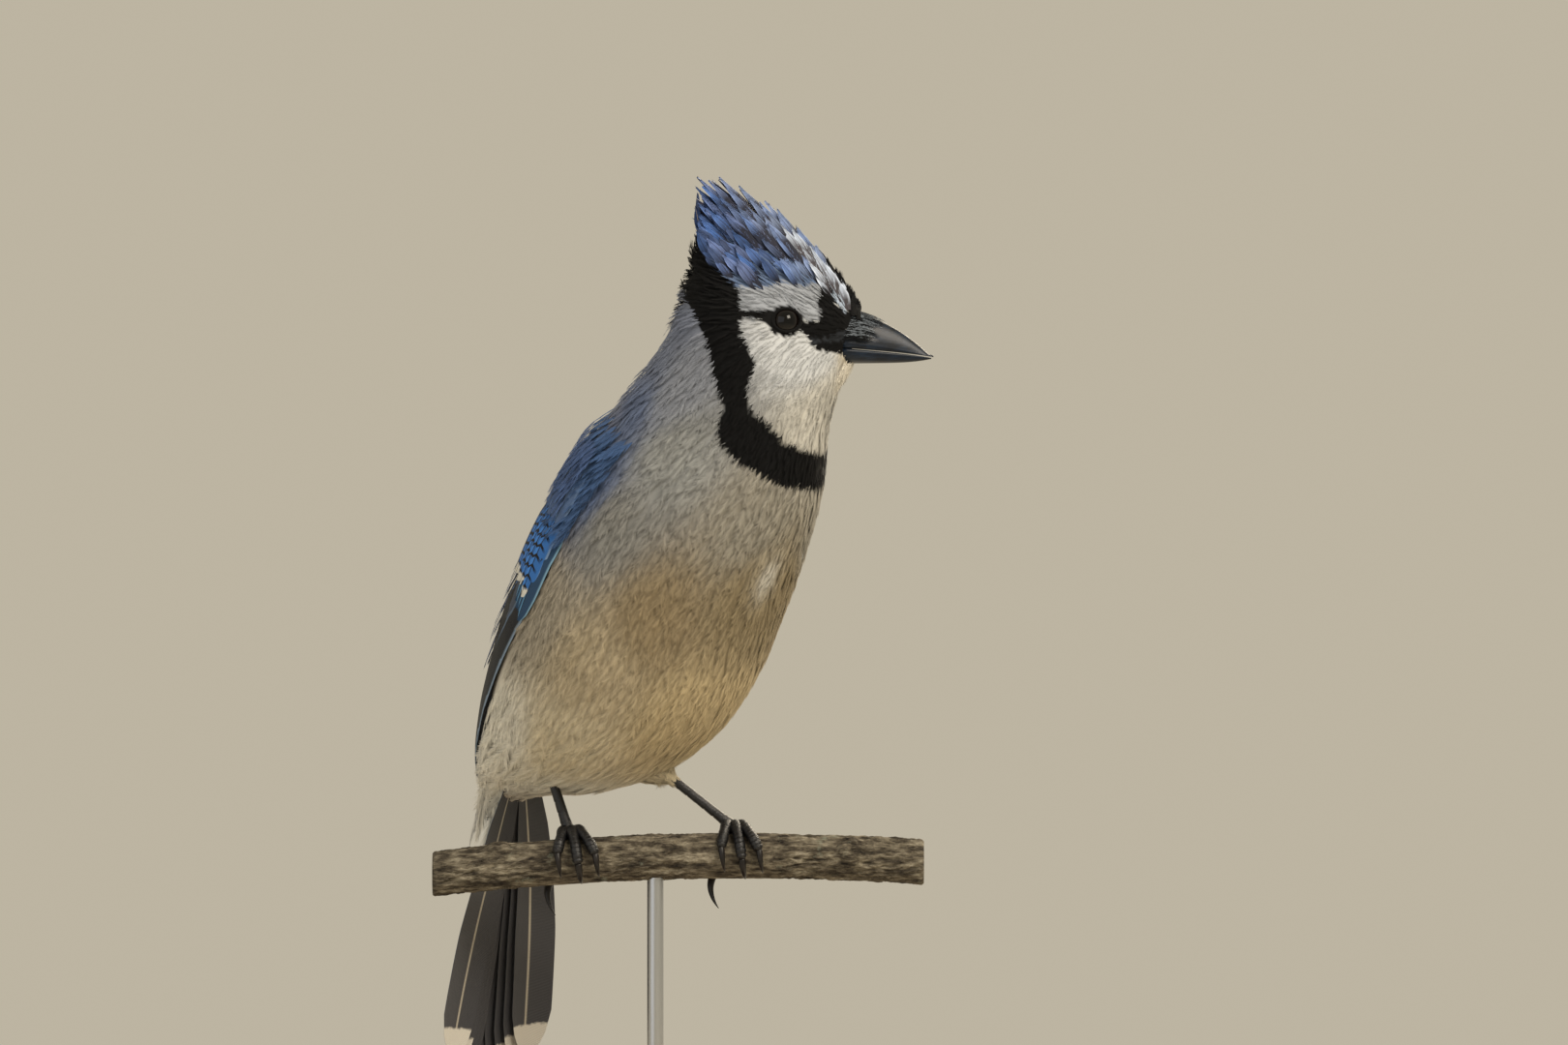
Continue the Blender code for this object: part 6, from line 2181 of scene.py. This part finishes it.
@dataclass(frozen=True)
class ThighCoat:
    """Short loose feathers over the two thighs, which close round the top of the bare leg."""

    legs: tuple[Leg, ...]
    count: int = 420
    shank: float = 1.8
    seed: int = 61

    def thickness(self, far: Array) -> Array:
        """Radius of the thigh's lobe at distances along it from its middle."""
        return THIGH_WIDTH * np.sqrt(np.clip(1.0 - (far / THIGH_LENGTH) ** 2, 0.0, 1.0))

    def build(self, material: Material) -> Piece:
        """Grow both thighs' feathers as one piece.

        Args:
            material: the plumage.

        Returns:
            The piece.
        """
        sheaf = Sheaf()
        rng = np.random.default_rng(self.seed)
        for leg in self.legs:
            lobe = thigh(np.array(leg.ankle), leg.foot)
            aim = unit(leg.foot - np.array(leg.ankle))
            middle = lobe.point(np.array([4.0, 4.0]), np.array([0.0, 180.0])).mean(0)
            t = rng.uniform(1.0, 6.6, self.count)
            a = rng.uniform(0.0, 360.0, self.count)
            p, normal, _ = lobe.surface(t, a)
            start = (p - middle) @ aim
            out = unit(p - middle - aim * start[:, None])
            out = unit(out + np.cross(out, aim) * rng.normal(0, 0.12, self.count)[:, None])
            end = np.minimum(start + rng.uniform(6.0, 9.0, self.count), rng.uniform(10.0, 13.5, self.count))
            handle, tip = (
                middle + aim * far[:, None]
                + out * np.maximum(self.shank, self.thickness(far) + lift)[:, None]
                for far, lift in (((start + end) / 2, 0.5), (end, 0.1)))
            colour = MARKINGS.body(np.full(self.count, 2.8), np.full(self.count, 62.0))
            colour = colour * rng.normal(1.0, 0.07, self.count)[:, None]
            spot = np.stack([2.2 + 0.16 * t, a], -1)
            Feathers(lobe.point(t, a, -0.9), handle, tip, unit(normal + out), np.full(self.count, 2.2),
                     colour, (spot, spot), 30, 0.27, 0.85, (26.0, 8.0)).into(sheaf, rng)
        return sheaf.mesh("coat_thighs", material)


@dataclass(frozen=True)
class Bristles:
    """Nasal bristles that lie forward over the root of the bill, and those of the chin below it."""

    count: int = 1150
    chin_count: int = 420
    seed: int = 71

    def on_bill(self, s: Array, around: Array, grow: float) -> Array:
        """Find points over the bill.

        Args:
            s: shares of its length.
            around: angles round its upper half, in radians.
            grow: how far the points stand off it.

        Returns:
            The points.
        """
        full = np.maximum(s, 0.0)
        mouth = 250.6 - 2.2 * full
        rise = np.sin(around) ** 0.85
        y = (BILL.half_width(full) + grow) * np.cos(around) * (1.0 - 0.25 * rise ** 2)
        z = mouth + (BILL.culmen(full) + grow - mouth) * rise
        return np.stack([BILL.base + (BILL.tip - BILL.base) * s, HEAD_MID_Y + y, z], -1)

    def nasal(self, sheaf: Sheaf, rng: Rng) -> None:
        """Grow bristles over both nostrils, from the mouth line up to the culmen.

        Args:
            sheaf: what takes the triangles.
            rng: seeded source of chance.
        """
        n = self.count
        around = np.radians(rng.uniform(8.0, 172.0, n))
        depth = rng.uniform(-0.14, 0.1, n)
        end = (depth + rng.uniform(0.16, 0.38, n)) * (1.0 - 0.3 * np.cos(around) ** 2)
        halfway = (depth + end) / 2
        root, middle, tip = (self.on_bill(s, around, grow)
                             for s, grow in ((depth, 0.4), (halfway, 1.5), (end, 0.4)))
        out = unit(self.on_bill(halfway, around, 2.0) - self.on_bill(halfway, around, 0.0))
        streak = (rng.random(n) < 0.36 * smooth(0.12, 0.4, np.sin(around)))[:, None]
        colour = np.where(streak, linear("#8a939c"), linear("#0c0e11")) * rng.uniform(0.7, 1.2, n)[:, None]
        spot = np.stack([np.full(n, 11.2), np.degrees(around) - 90.0], -1)
        Feathers(root, middle, tip, out, np.full(n, 0.9), colour, (spot, spot), 9, 0.17, 0.7,
                 (16.0, 6.0), 0.1).into(sheaf, rng)

    def chin(self, sheaf: Sheaf, rng: Rng) -> None:
        """Grow soft bristles that stand down from the chin under the bill.

        Args:
            sheaf: what takes the triangles.
            rng: seeded source of chance.
        """
        n = self.chin_count
        across = rng.uniform(-1.0, 1.0, n)
        down = rng.uniform(0.0, 1.0, n)
        x = 57.0 - 2.6 * across ** 2 - 3.6 * down
        root = np.stack([x, HEAD_MID_Y + 5.4 * across, 247.0 - 5.5 * down], -1)
        length = rng.uniform(4.5, 7.5, n)
        aim = np.stack([-0.42 - 0.12 * down, across * 0.3, -0.9 * np.ones(n)], -1)
        aim = unit(aim + rng.normal(0, 0.06, (n, 3)))
        out = unit(np.stack([np.ones(n), across * 1.6, 0.3 * np.ones(n)], -1))
        middle = root + aim * (length * 0.5)[:, None] + out * 0.3
        tip = root + aim * length[:, None]
        colour = linear("#efe8d8") * rng.normal(1.0, 0.08, n)[:, None]
        spot = np.stack([np.full(n, 9.6), across * 20.0], -1)
        Feathers(root, middle, tip, out, np.full(n, 0.9), colour, (spot, spot), 10, 0.18, 0.75,
                 (20.0, 8.0), 0.1).into(sheaf, rng)

    def build(self, material: Material) -> Piece:
        """Grow nasal and chin bristles as one piece.

        Args:
            material: the plumage.

        Returns:
            The piece.
        """
        rng = np.random.default_rng(self.seed)
        sheaf = Sheaf()
        self.nasal(sheaf, rng)
        self.chin(sheaf, rng)
        return sheaf.mesh("bill_bristles", material)


BIRD_MIDDLE = (0.0, 0.0, 0.2)


@dataclass(frozen=True)
class Studio:
    """Plain pale floor, soft lights and the camera at the photo's angle."""

    photo_width: int = 1620
    pixels_per_mm: float = 3.4
    aim: Spot = (35.3, 0.0, 197.4)
    lens: float = 300.0
    sensor: float = 36.0
    setback: float = 20.0
    floor_radius: float = 700.0
    floor_sides: int = 128
    floor_drop: float = 0.02

    def camera(self) -> None:
        """Set a level camera that looks along +Y with the photo's framing."""
        data = bpy.data.cameras.new("camera")
        data.lens = self.lens
        data.sensor_width = self.sensor
        data.clip_start, data.clip_end = 0.1, 40.0
        away = self.photo_width / self.pixels_per_mm * self.lens / self.sensor + self.setback
        x, y, z = self.aim
        camera = bpy.data.objects.new("camera", data)
        camera.location = (x * MM, (y - away) * MM, z * MM)
        camera.rotation_euler = (math.radians(90.0), 0.0, 0.0)
        bpy.context.scene.collection.objects.link(camera)
        bpy.context.scene.camera = camera

    def ground(self) -> None:
        """Lay a wide pale floor disc."""
        sides, reach = self.floor_sides, self.floor_radius
        a = 2 * np.pi * np.arange(sides) / sides
        points = np.full((sides + 1, 3), -self.floor_drop)
        points[:, 0] = (0.0, *reach * np.cos(a))
        points[:, 1] = (0.0, *reach * np.sin(a))
        mesh = bpy.data.meshes.new("floor")
        mesh.from_pydata((points * MM).tolist(), [], [(0, k + 1, (k + 1) % sides + 1) for k in range(sides)])
        mesh.materials.append(Paper("studio_paper").make())
        floor = bpy.data.objects.new("floor", mesh)
        bpy.context.scene.collection.objects.link(floor)

    def light(self, name: str, place: Spot, size: float, power: float, colour: str) -> None:
        """Hang a square soft light, aimed at the bird.

        Args:
            name: what it is for.
            place: where it hangs, in metres.
            size: its width, in metres.
            power: its watts.
            colour: its tint.
        """
        data = bpy.data.lights.new(name, "AREA")
        data.size, data.energy, data.color = size, power, linear(colour)
        lamp = bpy.data.objects.new(name, data)
        lamp.location = place
        lamp.rotation_euler = (Vector(BIRD_MIDDLE) - lamp.location).to_track_quat("-Z", "Y").to_euler()
        bpy.context.scene.collection.objects.link(lamp)

    def build(self) -> None:
        """Set up the whole studio."""
        world = bpy.data.worlds.new("soft_room")
        world.use_nodes = True
        back = world.node_tree.nodes["Background"]
        feed(back, {"Color": rgba("#cbc2ae"), "Strength": 0.85})
        bpy.context.scene.world = world
        bpy.context.scene.view_settings.view_transform = "Standard"
        self.camera()
        self.ground()
        self.light("key", (0.8, -1.1, 1.3), 0.8, 26.0, "#fff4e4")
        self.light("fill", (-1.3, -1.5, 0.7), 1.8, 7.0, "#e9f0ff")
        self.light("rim", (0.8, 1.2, 1.1), 0.8, 25.0, "#fff0d8")


def dress(piece: Piece, slot: str, *nodes: str) -> None:
    """Fix a piece to the body, log the material slot that it fills, and hide the solids that it stands for.

    Args:
        piece: the finished form.
        slot: the part's slot that it fills.
        nodes: the solids that it replaces.
    """
    log.info("%s: %d faces, slot %s", piece.name, len(piece.data.polygons), slot)
    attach(piece, "root")
    if nodes:
        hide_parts(*nodes)


def finishes() -> Looks:
    """Make every material.

    Returns:
        The materials, by name.
    """
    made = [
        BodyPlumage("body_plumage"),
        VanePlumage("primary_vanes", "#4a6079", "#15181f", bar_share=0.0, edge="#8da3ba"),
        VanePlumage("secondary_vanes", "#3e6ca6", "#14171d", tip_mm=4.0),
        VanePlumage("tertial_vanes", "#3e6a9f", "#3e6a9f", tip_mm=5.0, bar_mm=3.0),
        VanePlumage("covert_vanes", "#3f86dc", "#356fb8", tip_mm=2.8, bar_mm=3.4, bar_share=0.34),
        VanePlumage("alula_vanes", "#5c93bd", "#2a4665", bar_share=0.0, edge="#8db8d2"),
        VanePlumage("median_vanes", "#5f7fae", "#586f95", bar_share=0.0, edge="#7690b5"),
        VanePlumage("crest_vanes", CREST_BLUE, CREST_BLUE, "#33466e", bar_share=0.0, edge="#5f88d2",
                    shaft="#1b2540", fade_mm=8.0, fade="#131c30"),
        VanePlumage("tail_vanes", "#3d68a3", "#33496a", "#4b4c50", tip_mm=9.0, bar_mm=4.2, bar_share=0.3),
        # The bill's lighter blue-grey clouds are partly a painted bluish sheen
        Keratin("bill_keratin", "#04060a", "#1b2b3e"),
        Keratin("claw_keratin", "#0d0c0c", "#2c2724"),
        ScaledSkin("leg_scales", "#141417", "#060607"),
        WetEye("wet_cornea"),
        Bark("weathered_bark"),
        Walnut("oiled_walnut"),
        BrushedSteel("brushed_stainless_steel"),
    ]
    return {finish.name: finish.make() for finish in made}


def main() -> None:
    """Build and dress every sub-assembly in order."""
    logging.basicConfig(level=logging.INFO, format="%(name)s %(message)s")
    looks = finishes()
    plumage = looks["body_plumage"]
    legs = (Leg(Side.RIGHT, -30.4, (-41.5, 8.0, 137.0)), Leg(Side.LEFT, 19.5, (-9.5, 4.0, 127.5)))

    dress(Skin().build(plumage, legs), "body_feathers", "torso", "neck", "head")
    for tract in TRACTS + WING_TRACTS:
        dress(Coat(tract).build(plumage), "body_feathers")
    dress(ThighCoat(legs).build(plumage), "body_feathers")
    for piece in Crest().build(looks["crest_vanes"], plumage):
        dress(piece, "body_feathers")
    dress(Bristles().build(plumage), "body_feathers")
    for side, solid_node in ((Side.RIGHT, "wing_right"), (Side.LEFT, "wing_left")):
        pieces = Wing(side).build(looks)
        dress(pieces[0], "flight_feathers", solid_node)
        for piece in pieces[1:]:
            dress(piece, "flight_feathers")
    dress(Tail().build(looks["tail_vanes"]), "flight_feathers", "tail")
    for side in Side:
        dress(Eye(side).build(looks["wet_cornea"]), "eye", f"eye_{side.name.lower()}")
    for half, solid_node in zip(BILL.build(looks["bill_keratin"]), ("bill_upper", "bill_lower")):
        dress(half, "horn", solid_node)
    for leg in legs:
        end = leg.side.name.lower()
        shank, *claws = leg.build(looks["leg_scales"], looks["claw_keratin"])
        dress(shank, "leg_skin", f"leg_{end}")
        for toe, claw in zip(TOES, claws):
            dress(claw, "horn", f"claw_{end}_{toe.name}")
    dress(PERCH.build(looks["weathered_bark"]), "bark", "perch")
    base, rod, collar = Stand().build(looks["oiled_walnut"], looks["brushed_stainless_steel"])
    dress(base, "walnut", "stand_base")
    dress(rod, "steel", "stand_rod")
    dress(collar, "steel", "stand_collar")
    Studio().build()


if __name__ == "__main__":
    main()
